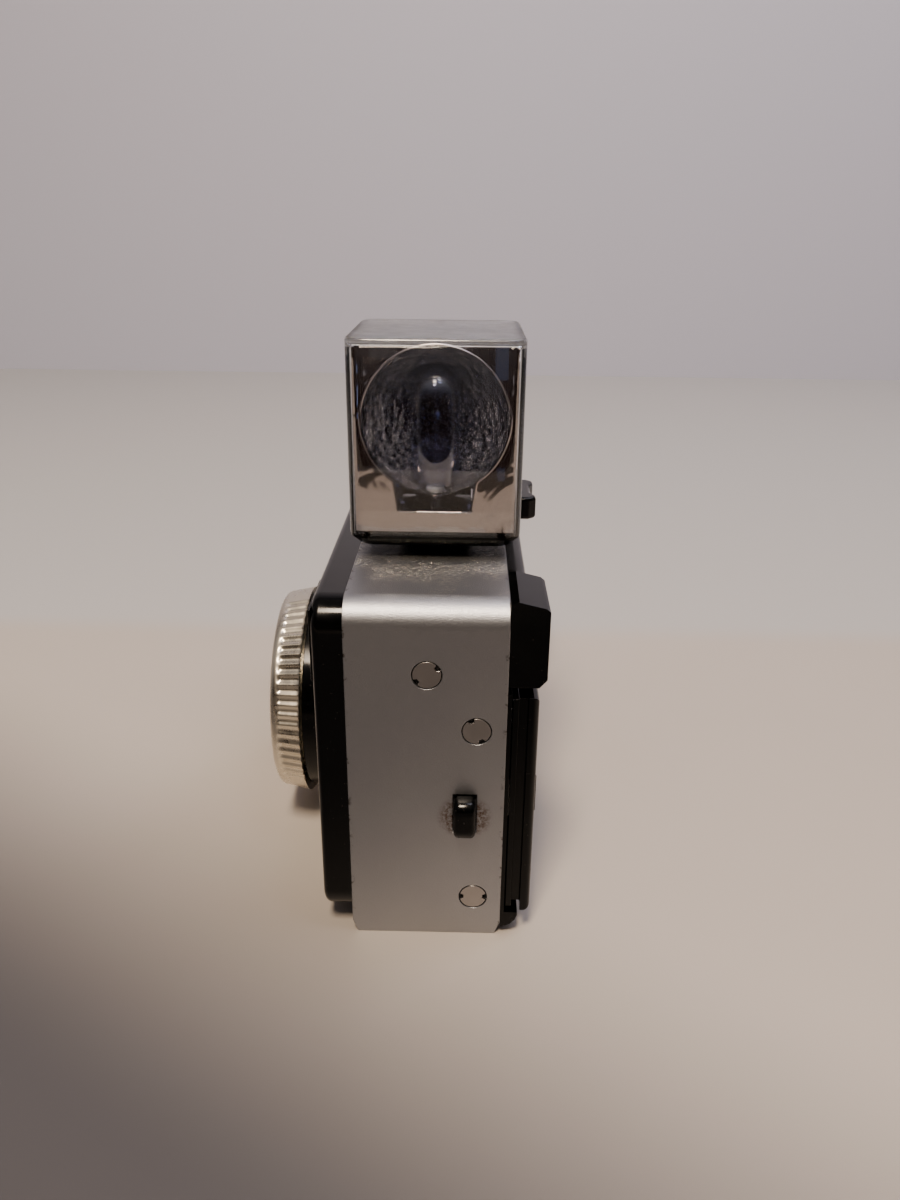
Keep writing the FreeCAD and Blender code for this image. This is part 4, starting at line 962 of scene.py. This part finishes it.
def make_feet():
    """The foot of each bulb: a mirrored floor across the neck, with two dark oval pads on it."""
    front, rear, thick = MIRROR_HALF - 0.4, 6.0, 0.3
    floor = [[(front, -NECK_HALF, up), (front, NECK_HALF, up), (rear, NECK_HALF, up),
              (rear, -NECK_HALF, up)] for up in (NECK_LOW - thick, NECK_LOW)]
    pad_out, pad_apart, half_deep, half_wide = 9.3, 3.0, 2.6, 2.2
    pads = []
    for middle in (-pad_apart, pad_apart):
        pads.append([[(pad_out + half_deep * x * size, middle + half_wide * y * size, up)
                      for x, y in circle(1.0, 24)]
                     for size, up in ((1.0, NECK_LOW - 0.1), (1.0, NECK_LOW + 0.9),
                                      (0.8, NECK_LOW + 1.3))])
    floors = quarter_turns("neck_floors", [floor], MIRROR_FOIL)
    finish_piece(floors, "flash_cube", "mirror_foil")
    feet = quarter_turns("bulb_feet", pads, GLOSS_BLACK)
    return finish_piece(feet, "flash_cube", "cube_base_plastic")


BULB_OUT = 8.0
BULB_WALL = 0.55
BULB_PROFILE = [(0.9, 71.6), (2.2, 71.4), (3.4, 71.9), (4.3, 73.2), (4.6, 75.2), (4.65, 80.0),
                (4.65, 86.0), (4.6, 89.2), (4.3, 91.0), (3.6, 92.4), (2.4, 93.3), (1.2, 93.7),
                (0.85, 94.2), (0.55, 94.8)]


def make_bulb(index, dx, dy):
    """A hollow bulb of drawn glass: an outer skin, and an inner one that faces inwards."""
    centre = (AXIS_X + BULB_OUT * dx, AXIS_Y + BULB_OUT * dy, 0)
    waist, end_wall = 80, 0.45
    inner = [(max(radius - BULB_WALL, 0.05),
              height + (end_wall if height < waist else -end_wall))
             for radius, height in reversed(BULB_PROFILE)]
    profile = [(0.0, BULB_PROFILE[0][1])] + BULB_PROFILE + [(0.0, BULB_PROFILE[-1][1] + 0.15)]
    outer = lathe(f"blue_bulb_{index}", profile, BLUE_BULB, "Z", centre, 64, 60)
    hollow = lathe("hollow", [(0.0, inner[0][1])] + inner + [(0.0, inner[-1][1])], BLUE_BULB, "Z",
                   centre, 64, 60)
    hollow.data.flip_normals()
    points = [v.co / MM for v in outer.data.vertices] + [v.co / MM for v in hollow.data.vertices]
    start = len(outer.data.vertices)
    faces = [tuple(p.vertices) for p in outer.data.polygons]
    faces += [tuple(start + v for v in p.vertices) for p in hollow.data.polygons]
    mesh = bpy.data.meshes.new(f"blue_bulb_{index}")
    mesh.from_pydata([p * MM for p in points], [], faces)
    mesh.materials.append(BLUE_BULB)
    for face in mesh.polygons:
        face.use_smooth = True
    outer.data = mesh
    bpy.data.objects.remove(hollow)
    return finish_piece(outer, "flash_cube", "bulb_glass", f"cube_bulb_{index}")


make_mirrors()
make_dishes()
make_feet()
for index, (dx, dy) in enumerate(((0, -1), (1, 0), (0, 1), (-1, 0)), 1):
    make_bulb(index, dx, dy)
print("flash cube made")

# %% [markdown]
# The stage is a pale table and a plain wall well behind it. One soft warm light hangs above and in
# front of the end that is looked at, and a second one lights the wall. The table darkens towards
# the viewer, as if in the viewer's own shadow. The room is pale overhead and behind, and dark and
# brown on the viewer's side, which is what the mirrors and the black plastic need to look deep.
# Two small glowing panes put a window and a doorway into the mirror's upper corners. Where the
# room is seen directly it is plain and pale. None of this is part of the object.

# %% The stage and the light
PANE_X = 520
# each pane's two sides in Y, its lower and upper edge, its colour and its strength
PANES = [("window", 64, 88, 78, 118, "#8fa3d6", 0.8),
         ("doorway", -104, -66, 98, 118, "#a7a3a6", 0.6)]


def make_stage():
    table, tree, shader = new_finish("pale_table", "#aba298", 0.0, 0.5)
    place = here(tree)
    split = add(tree, "ShaderNodeSeparateXYZ", None, {"Vector": place})
    mottle = add(tree, "ShaderNodeTexNoise", None, {"Vector": place, "Scale": 12.0, "Detail": 3.0})
    cream = blend(tree, mottle.outputs["Fac"], "#aba298", "#b1a89f")
    forward = add(tree, "ShaderNodeVectorMath", {"operation": "DOT_PRODUCT"},
                  {0: place, 1: (1.0, -0.6, 0.0)})
    shadow = times(tree, soft_ramp(tree, forward.outputs["Value"], 0.025, 0.12),
                   soft_ramp(tree, split.outputs["X"], 0.24, 0.18, low=0.5))
    shaded = blend(tree, shadow, cream, "#413f41")
    behind = soft_ramp(tree, split.outputs["X"], -0.066, -0.082)
    wire(tree, shader, Base_Color=blend(tree, behind, shaded, "#acaaa7"))
    wall = new_finish("pale_wall", "#b9b9c6", 0.0, 0.6)[0]
    far, near, wide, tall = -560, 420, 1500, 1400
    floor = build("floor", [(far, -wide, 0), (near, -wide, 0), (near, wide, 0), (far, wide, 0)],
                  [(0, 1, 2, 3)], table)
    back = build("backdrop", [(far, -wide, 0), (far, wide, 0), (far, wide, tall),
                              (far, -wide, tall)], [(0, 1, 2, 3)], wall)
    for name, left, right, low, high, tint, strength in PANES:
        glow = new_finish(name + "_glow", "#000000", 0.0, 1.0, Emission_Color=colour(tint),
                          Emission_Strength=strength)[0]
        build(name, [(PANE_X, left, low), (PANE_X, right, low), (PANE_X, right, high),
                              (PANE_X, left, high)], [(0, 1, 2, 3)], glow)


def make_light(name, place, aim_at, size, power, tint):
    data = bpy.data.lights.new(name, "AREA")
    data.shape = "RECTANGLE"
    data.size, data.size_y = size
    data.energy = power
    data.color = colour(tint)[:3]
    light = bpy.data.objects.new(name, data)
    bpy.context.scene.collection.objects.link(light)
    way = Vector(aim_at) - Vector(place)
    turned = way.to_track_quat("-Z", "Y").to_matrix().to_4x4()
    light.matrix_world = Matrix.Translation(Vector(place)) @ turned


def make_room():
    """The world: pale, but dark and brown low down on the viewer's side."""
    world = bpy.data.worlds.new("room")
    bpy.context.scene.world = world
    world.use_nodes = True
    tree = world.node_tree
    room = tree.nodes["Background"]
    room.inputs["Strength"].default_value = 0.6
    way = add(tree, "ShaderNodeTexCoord").outputs["Generated"]
    split = add(tree, "ShaderNodeSeparateXYZ", None, {"Vector": way})
    dark = times(tree, soft_ramp(tree, split.outputs["X"], 0.0, 0.45),
                 soft_ramp(tree, split.outputs["Z"], 0.75, 0.35))
    reflected = blend(tree, dark, "#b3adae", "#261a18")
    seen = add(tree, "ShaderNodeLightPath").outputs["Is Camera Ray"]
    wire(tree, room, Color=blend(tree, seen, reflected, "#e2dcdc"))


make_stage()
make_light("overhead", (0.50, -0.10, 0.95), (0.02, 0, 0.04), (0.18, 0.26), 17.0, "#ffe9cf")
make_light("wall_wash", (-0.1, 0.4, 0.9), (-0.55, 0, 0.35), (0.8, 0.3), 6.0, "#f3f0ff")
make_room()
print("stage and lights set")

# %% [markdown]
# The last cell brings the scene up to date.

# %% Bring the scene up to date
bpy.context.view_layer.update()
